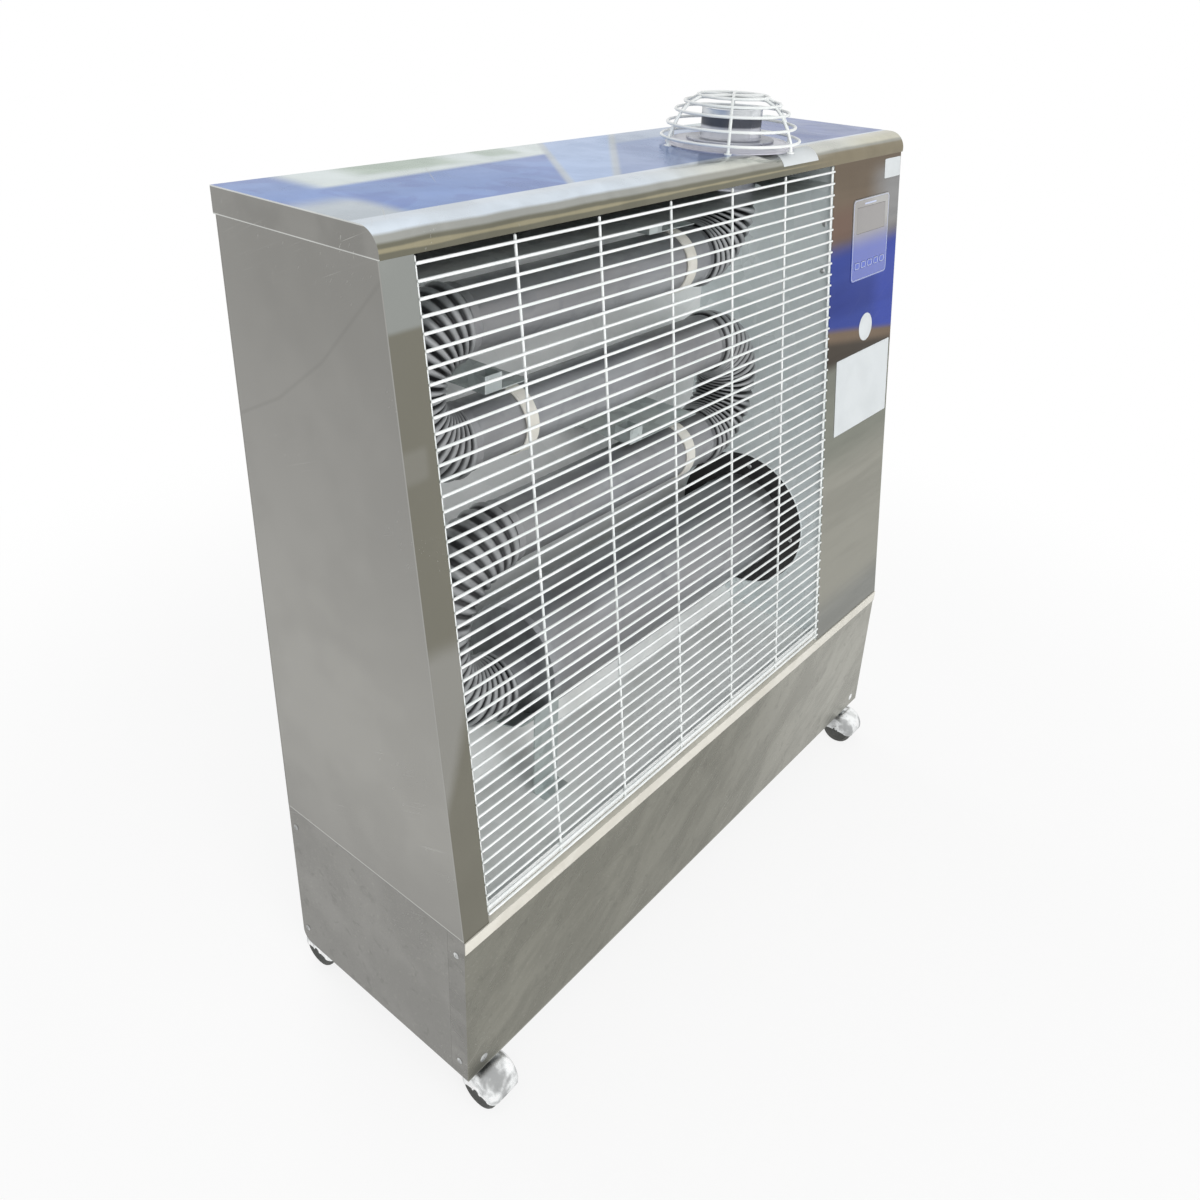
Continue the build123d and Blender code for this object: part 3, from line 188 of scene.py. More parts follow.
class EffectLibrary:
    """Shader node groups that several finishes use, each built once by the method of its name."""

    def __init__(self) -> None:
        """Starts with no groups."""
        self.made: dict[str, Tree] = {}

    def build(self, name: str, takes: tuple[str, ...]) -> Tree:
        """Builds the group of an effect.

        Args:
            name: Name of the group and of the method that fills it.
            takes: Names of its inputs besides the place, in the method's order.

        Returns:
            The group.
        """
        tree = bpy.data.node_groups.new(name, "ShaderNodeTree")
        tree.interface.new_socket("Vector", in_out="INPUT", socket_type="NodeSocketVector")
        for label in takes:
            tree.interface.new_socket(label, in_out="INPUT", socket_type="NodeSocketFloat")
        graph = Graph(tree)
        inward = graph.add("NodeGroupInput").outputs
        gives = getattr(self, name)(graph, inward["Vector"], *(inward[label] for label in takes))
        for label in gives:
            tree.interface.new_socket(label, in_out="OUTPUT", socket_type="NodeSocketFloat")
        graph.add("NodeGroupOutput", gives)
        return tree

    def use(self, name: str, graph: Graph, where: Socket, **feeds: float) -> dict[str, Socket]:
        """Places an effect in a material.

        Args:
            name: Name of the effect.
            graph: Graph of the material.
            where: Place that the effect is looked up at.
            **feeds: Other inputs of its group.

        Returns:
            The effect's outputs by name.
        """
        if name not in self.made:
            self.made[name] = self.build(name, tuple(feeds))
        node = graph.add("ShaderNodeGroup", node_tree=self.made[name])
        for label, value in {"Vector": where, **feeds}.items():
            graph.feed(node.inputs[label], value)
        return {socket.name: socket for socket in node.outputs}

    def clouds(self, graph: Graph, where: Socket, size: Socket) -> dict[str, Socket]:
        """Wide soft clouds with finer ones in them, as polished sheet shows."""
        broad = graph.noise(where, size, 2.0, 0.7)
        fine = graph.noise(where, graph.times(size, 5.0), 4.0, 0.3)
        return {"Mask": graph.span(graph.plus(graph.times(broad, 0.7), graph.times(fine, 0.3)), 0.34, 0.66)}

    def hairlines(self, graph: Graph, where: Socket, amount: Socket) -> dict[str, Socket]:
        """Thin scratches along two directions, gathered in places."""
        lines = []
        for turn, stretch in (((0.4, 0.5, 0.3), (9.0, 9.0, 700.0)), ((-0.5, 0.3, 0.6), (500.0, 500.0, 10.0))):
            bent = graph.add("ShaderNodeMapping", {"Vector": where, "Rotation": turn}).outputs[0]
            stretched = graph.add("ShaderNodeMapping", {"Vector": bent, "Scale": stretch}).outputs[0]
            lines.append(graph.span(graph.noise(stretched, 1.0, 2.0, 0.5), 0.66, 0.76))
        gathered = graph.span(graph.noise(where, 9.0, 3.0), 0.52, 0.70)
        mask = graph.times(graph.times(graph.math("MAXIMUM", *lines), gathered), amount)
        return {"Mask": mask, "Height": graph.math("SUBTRACT", 1.0, mask)}

    def dust(self, graph: Graph, where: Socket, amount: Socket) -> dict[str, Socket]:
        """Dust that lies on faces that look up, thicker in soft clouds."""
        normal = graph.add("ShaderNodeNewGeometry").outputs["Normal"]
        up = graph.add("ShaderNodeSeparateXYZ", {0: normal}).outputs[2]
        cloud = graph.span(graph.noise(where, 14.0, 6.0, 0.4), 0.38, 0.68)
        return {"Mask": graph.times(graph.times(graph.span(up, 0.2, 0.95, 0.08, 1.0), cloud), amount)}

    def speckles(self, graph: Graph, where: Socket, size: Socket, amount: Socket) -> dict[str, Socket]:
        """Small dark spots and pale grains, as on sheet that stood near gravel."""
        coarse = graph.noise(where, size, 3.0, 0.5)
        fine = graph.noise(where, graph.times(size, 3.3), 3.0)
        spots = (graph.times(graph.span(value, 0.58, 0.70), amount) for value in (coarse, fine))
        return dict(zip(("Dark", "Pale"), spots))

    def spangle(self, graph: Graph, where: Socket, size: Socket) -> dict[str, Socket]:
        """Crystal flakes of hot-dip zinc, each of its own shade."""
        cells = graph.add("ShaderNodeTexVoronoi", {"Vector": where, "Scale": size})
        shade = graph.add("ShaderNodeSeparateColor", {0: cells.outputs["Color"]}).outputs[0]
        both = graph.plus(graph.times(shade, 0.45), graph.times(graph.noise(where, 7.0, 4.0), 0.55))
        return {"Shade": both, "Height": shade}

    def heat_bloom(self, graph: Graph, where: Socket, amount: Socket) -> dict[str, Socket]:
        """Bloom and soot where steel has been hot."""
        bloom = graph.span(graph.noise(where, 5.0, 5.0, 0.8), 0.42, 0.66)
        soot = graph.span(graph.noise(where, 38.0, 6.0, 0.3), 0.5, 0.72)
        return {"Mask": graph.times(bloom, amount), "Soot": graph.times(soot, amount)}


EFFECTS = EffectLibrary()


def new_material(name: str, values: dict[str, object]) -> tuple[bpy.types.Material, Graph, bpy.types.Node]:
    """Starts a material with a Principled shader.

    Args:
        name: Name of the material.
        values: Plain values for the shader's sockets, by the sockets' names.

    Returns:
        The material, its graph and the shader node.
    """
    material = bpy.data.materials.new(name)
    material.use_nodes = True
    principled = material.node_tree.nodes["Principled BSDF"]
    for label, value in values.items():
        principled.inputs[label].default_value = value
    return material, Graph(material.node_tree), principled


@dataclass(frozen=True)
class Edge:
    """A soft border of an area: the side on which direction times place is above level."""

    direction: Triple
    level: float
    soft: float = SOFT


def side_of(direction: Triple, place: float, soft: float = SOFT) -> Edge:
    """The side of a place on an axis that a direction along this axis points to."""
    return Edge(direction, sum(direction) * place, soft)


right_of, left_of = partial(side_of, (1.0, 0.0, 0.0)), partial(side_of, (-1.0, 0.0, 0.0))
behind, before = partial(side_of, (0.0, 1.0, 0.0)), partial(side_of, (0.0, -1.0, 0.0))
above, below = partial(side_of, (0.0, 0.0, 1.0)), partial(side_of, (0.0, 0.0, -1.0))


def slanted(axes: str, start: tuple[float, float], end: tuple[float, float], soft: float = SOFT) -> Edge:
    """The left side of the line from start to end, seen along two axes.

    Args:
        axes: Two of the letters X, Y and Z.
        start: First point of the line.
        end: Second point of the line.
        soft: Width of the border.

    Returns:
        The border.
    """
    run, rise = end[0] - start[0], end[1] - start[1]
    length = (run**2 + rise**2) ** 0.5
    direction = [0.0, 0.0, 0.0]
    direction["XYZ".index(axes[0])] = -rise / length
    direction["XYZ".index(axes[1])] = run / length
    return Edge(tuple(direction), (-rise * start[0] + run * start[1]) / length, soft)


def stripe(axes: str, start: tuple, end: tuple, half: float, soft: float) -> tuple[Edge, Edge]:
    """Both borders of a line of twice the half width, seen along two axes."""
    left = slanted(axes, start, end, soft)
    turned = tuple(-v for v in left.direction)
    return Edge(left.direction, left.level - half, soft), Edge(turned, -left.level - half, soft)


@dataclass(frozen=True)
class Area:
    """A tone painted inside its borders: most areas are painted reflections, highlights and shade.

    Soft borders wander by the wave, fine ones stay straight, and the inside may be broken into patches of
    the noise scale given as broken.
    """

    tone: Tone
    edges: tuple[Edge, ...]
    strength: float = 1.0
    wave: float = 0.0
    broken: float = 0.0
    fine: float = 0.001

    def mask(self, graph: Graph, where: Socket) -> Socket:
        """The area's mask: the product of one soft step for each border."""
        total: object = self.strength
        wander = None
        if self.wave:
            wander = graph.times(graph.math("SUBTRACT", graph.noise(where, 9.0, 4.0), 0.5), self.wave)
        for edge in self.edges:
            along = graph.vector("DOT_PRODUCT", {0: where, 1: edge.direction})
            if wander is not None and edge.soft > self.fine:
                along = graph.plus(along, wander)
            half = edge.soft / 2
            total = graph.times(graph.span(along, edge.level - half, edge.level + half), total)
        if self.broken:
            total = graph.times(total, graph.span(graph.noise(where, self.broken, 3.0, 0.6), 0.46, 0.58))
        return total


def paint(graph: Graph, where: Socket, colour: object, areas: tuple[Area, ...]) -> object:
    """Lays areas over a colour, one after the other, and returns the result."""
    for area in areas:
        colour = graph.blend(area.mask(graph, where), colour, linear(area.tone))
    return colour


@dataclass(frozen=True)
class Finish:
    """A procedural finish. Each kind says in layers() how its colour, roughness and normal come about."""

    name: str

    def plain(self) -> dict[str, object]:
        """Plain values of the shader's sockets."""
        return {"Metallic": self.metallic, "Roughness": self.roughness}

    def build(self) -> bpy.types.Material:
        """Builds the material.

        Returns:
            The finished material.
        """
        material, graph, shader = new_material(self.name, self.plain())
        for label, value in zip(("Base Color", "Roughness", "Normal"), self.layers(graph, graph.place())):
            graph.feed(shader.inputs[label], value)
        return material


@dataclass(frozen=True)
class PolishedSheet(Finish):
    """Mirror-bright stainless sheet: areas of painted reflection, highlight and shade, soft clouds,
    hairlines, speckles and a little dust.

    Clouds darken the tone by the share cloud, have the noise scale size, and are turned about Y and
    stretched. The tone at grazing angles is edge.
    """

    tone: Tone
    areas: tuple[Area, ...] = ()
    cloud: float = 0.12
    size: float = 3.0
    stretch: Triple = ONES
    turn: float = 0.0
    roughness: float = 0.2
    scratches: float = 0.25
    edge: float = 0.72
    speckle: float = 0.0
    dusty: float = 0.18
    metallic: float = 1.0

    def plain(self) -> dict[str, object]:
        """Plain values of the shader's sockets, with the shade of its edges."""
        return {**super().plain(), "Specular Tint": (self.edge, self.edge, self.edge, 1.0)}

    def layers(self, graph: Graph, where: Socket) -> tuple[Socket, Socket, Socket]:
        """Colour, roughness and normal."""
        cloud = EFFECTS.use("clouds", graph, graph.place(self.stretch, self.turn), Size=self.size)["Mask"]
        lines = EFFECTS.use("hairlines", graph, where, Amount=self.scratches)
        dust = EFFECTS.use("dust", graph, where, Amount=self.dusty)["Mask"]
        colour = paint(graph, where, linear(self.tone), self.areas)
        shade = graph.span(cloud, 0.0, 1.0, 1.0 + self.cloud / 2, 1.0 - self.cloud)
        colour = graph.blend(1.0, colour, shade, "MULTIPLY")
        if self.speckle:
            spots = EFFECTS.use("speckles", graph, where, Size=70.0, Amount=self.speckle)
            colour = graph.blend(spots["Dark"], colour, linear(DARK_GRIT))
            colour = graph.blend(spots["Pale"], colour, linear(PALE_GRIT))
        colour = graph.blend(lines["Mask"], colour, linear(SCRATCH))
        colour = graph.blend(dust, colour, linear(SHEET_DUST))
        rough = graph.times(cloud, 0.06)
        for mask, share in ((lines["Mask"], 0.25), (dust, 0.5)):
            rough = graph.plus(rough, graph.times(mask, share))
        wave = graph.bump(graph.noise(where, 5.0, 2.0), 0.2, 0.003)
        return colour, graph.plus(rough, self.roughness), graph.bump(lines["Height"], 0.12, 0.0002, wave)


@dataclass(frozen=True)
class ZincSheet(Finish):
    """Galvanised sheet with pale dust and flakes of two shades, whose noise scale is flake."""

    light: Tone
    dark: Tone
    flake: float = 60.0
    roughness: float = 0.38
    metallic: float = 0.6
    dusty: float = 0.3

    def layers(self, graph: Graph, where: Socket) -> tuple[Socket, Socket, Socket]:
        """Colour, roughness and normal."""
        flakes = EFFECTS.use("spangle", graph, where, Size=self.flake)
        dust = EFFECTS.use("dust", graph, where, Amount=self.dusty)["Mask"]
        colour = graph.blend(graph.span(flakes["Shade"], 0.15, 0.8), linear(self.light), linear(self.dark))
        colour = graph.blend(dust, colour, linear(ZINC_DUST))
        rough = graph.plus(graph.times(flakes["Shade"], 0.14), self.roughness - 0.07)
        return colour, rough, graph.bump(flakes["Height"], 0.06, 0.0003)


@dataclass(frozen=True)
class HotSteel(Finish):
    """Heat-resistant steel with an amount of bloom and soot; a ribbed one has painted shade in the roots of
    its ribs.
    """

    light: Tone
    dark: Tone
    bloom: Tone
    amount: float = 0.5
    roughness: float = 0.34
    metallic: float = 0.7
    ribbed: bool = False

    def layers(self, graph: Graph, where: Socket) -> tuple[Socket, Socket, Socket]:
        """Colour, roughness and normal."""
        heat = EFFECTS.use("heat_bloom", graph, where, Amount=self.amount)
        tone = graph.noise(graph.place((2.0, 12.0, 12.0)), 3.0, 3.0, 0.3)
        grain = graph.noise(graph.place((60.0, 500.0, 500.0)), 1.0, 3.0)
        if self.ribbed:
            # Painted shade: the roots between the ribs take the dark tone, the crests the light one.
            crest = graph.add("ShaderNodeAttribute", attribute_name="crest").outputs["Fac"]
            tone = graph.plus(graph.times(graph.math("SUBTRACT", 1.0, crest), 0.9), 0.1)
        colour = graph.blend(graph.span(tone, 0.25, 0.75), linear(self.light), linear(self.dark))
        colour = graph.blend(heat["Mask"], colour, linear(self.bloom))
        colour = graph.blend(heat["Soot"], colour, linear(self.dark))
        rough = graph.plus(graph.times(heat["Soot"], 0.25), self.roughness)
        return colour, rough, graph.bump(grain, 0.05, 0.0002)


@dataclass(frozen=True)
class Coating(Finish):
    """Paint, plastic or rubber with worn spots and dust.

    Its texture has the noise scale grain and a depth in metres, and its clear coat the weight coat.
    """

    colour: Tone
    shade: Tone
    roughness: float = 0.45
    grain: float = 900.0
    depth: float = 0.00015
    coat: float = 0.0
    dusty: float = 0.25
    areas: tuple[Area, ...] = ()
    metallic: float = 0.0

    def plain(self) -> dict[str, object]:
        """Plain values of the shader's sockets, with its clear coat."""
        return {**super().plain(), "Coat Weight": self.coat}

    def layers(self, graph: Graph, where: Socket) -> tuple[Socket, Socket, Socket]:
        """Colour, roughness and normal."""
        cloud = graph.span(graph.noise(where, 18.0, 5.0, 0.4), 0.38, 0.66)
        dust = EFFECTS.use("dust", graph, where, Amount=self.dusty)["Mask"]
        colour = graph.blend(graph.times(cloud, 0.6), linear(self.colour), linear(self.shade))
        colour = graph.blend(dust, paint(graph, where, colour, self.areas), linear(PAINT_DUST))
        rough = graph.plus(graph.plus(graph.times(cloud, 0.12), graph.times(dust, 0.4)), self.roughness)
        return colour, rough, graph.bump(graph.noise(where, self.grain, 2.0), 0.25, self.depth)


@dataclass
class Lean:
    """The leaning plane of the cabinet's front."""

    seam: float = 0.277
    lid: float = 0.961
    front: float = -0.1475
    setback: float = 0.074

    def y(self, level: float | np.ndarray, inset: float = 0.0) -> float | np.ndarray:
        """Y of the plane at a level, moved inwards square to the plane by inset."""
        rate = self.setback / (self.lid - self.seam)
        return self.front + rate * (level - self.seam) + inset * np.sqrt(1 + rate**2)

    def axes(self) -> tuple[np.ndarray, np.ndarray]:
        """Unit vectors up the slope and out of the plane."""
        up = np.array([0, self.setback, self.lid - self.seam])
        up = up / np.linalg.norm(up)
        return up, np.cross([1.0, 0.0, 0.0], up)

    def face(self, depth: float = 0.0005) -> Edge:
        """Border that holds only what lies on the front plane."""
        out = self.axes()[1]
        level = out @ np.array([0.0, self.front, self.seam])
        return Edge(tuple(float(v) for v in out), float(level) - depth, 0.0003)


LEAN = Lean()
FRONT = LEAN.face()

OLIVE_REFLECTION = (129, 127, 116)
PALE_REFLECTION = (155, 154, 148)
DARK_LINE_REFLECTION = (122, 121, 117)
SKIN = (left_of(-0.40),)
FOLD = left_of(-0.4594, 0.0003)
# A dark reflected line painted across the upper side, in three straight pieces.
DARK_LINE_BENDS = ((0.147, 0.772), (0.08, 0.806), (0.01, 0.858), (-0.055, 0.925))
DARK_LINE_STRIPES = tuple(stripe("YZ", *ends, 0.0008, 0.005) for ends in zip(DARK_LINE_BENDS, DARK_LINE_BENDS[1:]))
PALE_REFLECTION_FOOT = slanted("XZ", (-0.46, 0.445), (-0.425, 0.53), 0.02)
# Painted reflections on the left side: darker towards the top and a lighter band across the middle.
SIDE_AREAS = (
    Area((143, 142, 138), (above(0.84, 0.26),)),
    Area((166, 165, 160), (below(0.62, 0.3), above(0.30, 0.25))),
    # Painted dark reflection line, one area for each straight piece.
    Area(DARK_LINE_REFLECTION, DARK_LINE_STRIPES[0] + (behind(0.08),) + SKIN, 0.4),
    Area(DARK_LINE_REFLECTION, DARK_LINE_STRIPES[1] + (behind(0.01), before(0.08)) + SKIN, 0.4),
    Area(DARK_LINE_REFLECTION, DARK_LINE_STRIPES[2] + (before(0.01),) + SKIN, 0.4),
    # Painted highlights: a pale line along the side's foot and a pale band along its fold to the front.
    Area((196, 196, 192), (FOLD, below(0.2789, 0.0008)), 0.9),
    Area((172, 172, 168), (FOLD, Edge(FRONT.direction, FRONT.level - 0.0016, 0.001)), 0.7),
    # Painted reflection on the front stile: olive, paler at its top, with pale reflected patches.
    Area(OLIVE_REFLECTION, (FRONT,)),
    Area((156, 159, 155), (FRONT, above(0.903, 0.006)), wave=0.004),
    Area(PALE_REFLECTION, (FRONT, PALE_REFLECTION_FOOT, below(0.612, 0.03)), 1.0, 0.03),
    Area(PALE_REFLECTION, (FRONT, above(0.776, 0.01), below(0.803, 0.01), left_of(-0.436, 0.01)), 0.4, 0.02),
)
LID_TOP = above(0.9856, 0.0004)
GREENISH_REFLECTION = (168, 190, 172)
REFLECTED_BEAM_EDGE = (186, 196, 202)
INSIDE = (right_of(-0.4611, 0.0002), left_of(0.4611, 0.0002))
REFLECTED_BEAM_ONE = ((-0.20, -0.04), (-0.04, 0.147))
REFLECTED_BEAM_TWO = ((-0.13, -0.04), (0.09, 0.147))
LID_GLEAM = slanted("XY", (-0.38, 0.078), (-0.07, 0.092), 0.014)
# Painted reflections on the lid's top: blue sky, pale and greenish patches and two reflected beams.
LID_AREAS = (
    Area((96, 140, 212), (LID_TOP,)),
    Area((84, 112, 176), (LID_TOP, right_of(0.22, 0.12))),
    Area((56, 98, 184), (LID_TOP,), 0.5, broken=18.0),
    Area((222, 234, 234), (LID_TOP, right_of(-0.398, 0.03), LID_GLEAM)),
    Area(GREENISH_REFLECTION, (LID_TOP, behind(0.105, 0.02), right_of(-0.33, 0.04), left_of(-0.20, 0.04)), 0.9, 0.01),
    Area(GREENISH_REFLECTION, (LID_TOP, behind(0.112, 0.02), right_of(-0.155, 0.02), left_of(-0.105, 0.02)), 0.8, 0.01),
    Area((160, 190, 236), (LID_TOP, slanted("XY", *REFLECTED_BEAM_TWO, 0.006), slanted("XY", *REFLECTED_BEAM_ONE[::-1], 0.006))),
    Area((134, 160, 206), (LID_TOP, slanted("XY", *REFLECTED_BEAM_TWO[::-1], 0.006), left_of(0.24, 0.1)), 0.7),
    Area(REFLECTED_BEAM_EDGE, (LID_TOP,) + stripe("XY", *REFLECTED_BEAM_ONE, 0.004, 0.006), 0.8),
    Area(REFLECTED_BEAM_EDGE, (LID_TOP,) + stripe("XY", *REFLECTED_BEAM_TWO, 0.004, 0.006), 0.8),
    Area((196, 206, 210), (LID_TOP, left_of(-0.405, 0.03), before(0.03, 0.05)), 0.9, 0.02),
    # Painted highlight and reflections on the front roll: a bright band, then pale, grey and brown bands
    # below it.
    Area((221, 231, 241), INSIDE + (before(-0.041, 0.003), above(0.961))),
    Area((212, 214, 206), INSIDE + (before(-0.048, 0.008), right_of(-0.06, 0.16)), wave=0.02),
    Area((212, 210, 192), INSIDE + (before(-0.046, 0.004), right_of(0.33, 0.1))),
    Area((158, 158, 150), INSIDE + (before(-0.0645, 0.003), below(0.9795, 0.003)), 0.9, 0.004),
    Area((119, 117, 103), INSIDE + (before(-0.0685, 0.002), below(0.9735, 0.003)), wave=0.004),
    Area((176, 168, 140), INSIDE + (before(-0.070, 0.002), below(0.9695, 0.002), above(0.9665, 0.002)), 0.7,
         0.006),
    Area((139, 130, 109), INSIDE + (before(-0.068, 0.002), below(0.9765, 0.003), right_of(0.2, 0.15))),
    # Painted highlights along the top and bottom edges of the lid's left side.
    Area((214, 216, 214), (left_of(-0.4606, 0.0003), above(0.9850, 0.0006)), 0.9),
    Area((206, 207, 204), (left_of(-0.4606, 0.0003), below(0.9622, 0.0006)), 0.9),
)
BLUE_REFLECTION_TOP = above(0.856, 0.036)
BLUE_REFLECTION_FOOT = slanted("XZ", (0.275, 0.748), (0.44, 0.722), 0.012)
SHADE_FOOT = slanted("XZ", (0.275, 0.731), (0.44, 0.705), 0.014)
# Painted reflections on the fascia, from the bottom up: pale, grey, dark brown, a blue band of reflected sky,
# brown above it, and a pale patch at the upper right.
FASCIA_AREAS = (
    Area((148, 149, 144), (below(0.33, 0.05),)),
    Area((136, 138, 128), (above(0.55, 0.07),)),
    Area((78, 71, 63), (above(0.695, 0.02),)),
    Area((124, 107, 90), (SHADE_FOOT,), wave=0.004),
    Area((60, 77, 155), (BLUE_REFLECTION_FOOT,), wave=0.003),
    Area((52, 66, 140), (BLUE_REFLECTION_FOOT, below(0.80, 0.03), above(0.765, 0.02)), 0.6),
    Area((66, 84, 178), (BLUE_REFLECTION_FOOT, right_of(0.40, 0.05)), 0.7),
    Area((121, 108, 93), (BLUE_REFLECTION_TOP,)),
    Area((122, 99, 88), (BLUE_REFLECTION_TOP, below(0.905, 0.04), above(0.86, 0.02), left_of(0.33, 0.04)), 0.8, 0.02),
    Area((156, 157, 158), (BLUE_REFLECTION_TOP, right_of(0.395, 0.09), below(0.945, 0.03)), 0.9, 0.03),
)
# Painted reflections on the flue pipe: a dark band and a paler patch low on the right; the band at its mouth
# is painted pale.
PIPE_AREAS = (
    Area((92, 95, 104), (above(1.009, 0.003), below(1.021, 0.003))),
    Area((150, 152, 164), (below(0.9985, 0.002), right_of(0.13, 0.03)), 0.6),
    Area((236, 239, 242), (above(1.0225, 0.002),)),
)
# Painted reflections on the display: blue sky over its lower half and a pale patch at the upper right.
DISPLAY_AREAS = (
    Area((66, 86, 176), (below(0.858, 0.036),)),
    Area((168, 168, 166), (above(0.875, 0.03), right_of(0.37, 0.05)), 0.7),
)
# Painted reflections on the base: one tone on its side face, another on its front, lighter to the right, and
# a paler strip along its foot.
BASE_AREAS = (
    Area((148, 147, 143), (left_of(-0.4592, 0.0004),)),
    Area((143, 142, 132), (before(-0.1468, 0.0004), below(0.262))),
    Area((180, 179, 170), (before(-0.1468, 0.0004), right_of(0.16, 0.4))),
    Area((178, 177, 168), (before(-0.146), below(0.0625, 0.002)), 0.8),
)
FINISHES: dict[Slot, Finish] = {
    Slot.STAINLESS: PolishedSheet("side_stainless", (152, 151, 147), SIDE_AREAS, 0.05, 4.0),
    Slot.ZINC: ZincSheet("galvanised_sheet", (206, 214, 213), (180, 188, 188)),
    Slot.REFLECTOR: ZincSheet("reflector_sheet", (250, 252, 251), (240, 243, 242), 20.0, 0.4, 0.1),
    Slot.TUBE: HotSteel("emitter_steel", (176, 178, 181), (140, 142, 146), (140, 138, 138)),
    Slot.DARK: Coating("black_heat_coating", (40, 40, 42), (58, 57, 55), 0.5),
    Slot.WIRE: Coating("wire_coating", (243, 246, 245), (226, 231, 230), 0.3, 500.0, 0.0001, 0.3, 0.05),
    Slot.STRIP: Coating("trim_paint", (219, 216, 205), (203, 199, 187), 0.35, 700.0, 0.0001, 0.2),
    Slot.STRAP: Coating("strap_coating", (234, 232, 224), (208, 204, 192), 0.45, 600.0, 0.0002),
    # Strong clouds painted on the plating stand in for the mottled reflections of chrome.
    Slot.PLATED: PolishedSheet("bright_plating", (236, 238, 238), (), 0.5, 26.0, roughness=0.24),
    Slot.TREAD: Coating("tread_rubber", (74, 75, 73), (96, 96, 93), 0.6, 1200.0, 0.0002, 0.0, 0.5),
    # The display film and lens are dark and the keys grey in themselves; their lighter grey and blue tones
    # are painted reflections.
    Slot.DISPLAY: Coating("display_film", (146, 143, 140), (138, 135, 133), 0.16, 1400.0, 0.00004, 0.6, 0.1,
                          DISPLAY_AREAS),
    Slot.KEY: Coating("key_film", (82, 101, 190), (74, 92, 182), 0.3, 1500.0, 0.00005),
    Slot.LENS: Coating("smoked_lens", (132, 129, 127), (124, 121, 120), 0.08, 1500.0, 0.00002, 0.8, 0.1),
    Slot.PLASTIC: Coating("black_moulding", (34, 34, 35), (48, 48, 48), 0.5, 1300.0, 0.0002),
    Slot.BOARD: Coating("circuit_board", (24, 84, 48), (18, 64, 38), 0.35, 800.0, 0.0001),
    Slot.TANK: Coating("tank_paint", (70, 72, 74), (54, 56, 58), 0.45, 700.0, 0.0002),
    Slot.SEAL: Coating("seal_rubber", (26, 26, 26), (40, 40, 40), 0.75),
    Slot.MOTOR: Coating("motor_paint", (52, 54, 58), (38, 40, 42), 0.4, 800.0, 0.0002),
    Slot.CAST: HotSteel("cast_alloy", (196, 198, 200), (166, 168, 170), (178, 176, 170), 0.3, 0.42),
    Slot.BRASS: HotSteel("brass_pipe", (214, 184, 112), (176, 144, 78), (150, 116, 70), 0.5, 0.3),
}
OWN_FINISHES = (
    PolishedSheet("lid_stainless", (141, 140, 136), LID_AREAS, 0.08, 9.0, ONES, 0.0, 0.16, 0.5, 0.85),
    PolishedSheet("fascia_stainless", (158, 157, 147), FASCIA_AREAS, 0.08, 3.0, (0.6, 1.0, 6.0)),
    PolishedSheet("base_stainless", (150, 149, 145), BASE_AREAS, 0.12, 5.0, (1.0, 1.0, 3.0), 0.6, 0.22, 0.4,
                  speckle=0.15),
    PolishedSheet("pan_stainless", (150, 149, 145), (), 0.08, 5.0, speckle=0.15),
    # Zinc for the inner wall and the partition, painted paler than galvanised_sheet to stand in for light
    # inside the chamber.
    ZincSheet("inner_wall_zinc", (228, 233, 233), (212, 218, 219), 40.0, 0.35, 0.2),
    ZincSheet("partition_zinc", (240, 247, 248), (226, 234, 235), 40.0, 0.3, 0.2),
    # Ribbed bends: light crests and near-black roots, the roots dark with painted shade.
    HotSteel("ribbed_steel", (178, 180, 182), (34, 35, 38), (122, 122, 122), 0.25, 0.32, 0.6, True),
    PolishedSheet("pipe_steel", (200, 202, 210), PIPE_AREAS, 0.1, 12.0, roughness=0.25),
    ZincSheet("dish_zinc", (204, 204, 214), (182, 182, 194), 30.0, 0.3),
    Coating("bare_label", (214, 219, 221), (206, 211, 213), 0.5, 500.0, 0.00008),
    Coating("pale_print", (196, 204, 226), (186, 194, 218), 0.4, 800.0, 0.00003),
)


@dataclass
class Surface:
    """Points and faces of a shape before it becomes a mesh, with an optional value for each point."""

    points: np.ndarray
    faces: list
    crest: np.ndarray | None = None


def join(*shapes: Surface) -> Surface:
    """Puts several shapes into one, without welding them.

    Args:
        *shapes: The shapes.

    Returns:
        One shape with all points and faces.
    """
    points, faces, start = [], [], 0
    for shape in shapes:
        points.append(shape.points)
        faces.extend([[int(i) + start for i in face] for face in shape.faces])
        start += len(shape.points)
    return Surface(np.vstack(points), faces)


def grid(points: np.ndarray, wrap_rows: bool = False, wrap_columns: bool = False) -> Surface:
    """Quads over an array of points of shape rows, columns, 3.

    Args:
        points: The points.
        wrap_rows: Whether the last row joins the first.
        wrap_columns: Whether the last column joins the first.

    Returns:
        The surface.
    """
    rows, columns = points.shape[:2]
    row = np.arange(rows if wrap_rows else rows - 1)[:, None]
    column = np.arange(columns if wrap_columns else columns - 1)[None, :]
    next_row, next_column = (row + 1) % rows, (column + 1) % columns
    starts = (row * columns, row * columns, next_row * columns, next_row * columns)
    steps = (column, next_column, next_column, column)
    corners = [np.broadcast_to(a + b, (row.size, column.size)) for a, b in zip(starts, steps)]
    return Surface(points.reshape(-1, 3), np.stack(corners, -1).reshape(-1, 4).tolist())


def across(axis: tuple) -> tuple[np.ndarray, np.ndarray, np.ndarray]:
    """Unit vector of an axis and two unit vectors square to it and to each other."""
    axis = np.array(axis, float) / np.linalg.norm(axis)
    helper = np.array([0.0, 0.0, 1.0]) if abs(axis[2]) < 0.9 else np.array([1.0, 0.0, 0.0])
    first = np.cross(helper, axis)
    first /= np.linalg.norm(first)
    return axis, first, np.cross(axis, first)


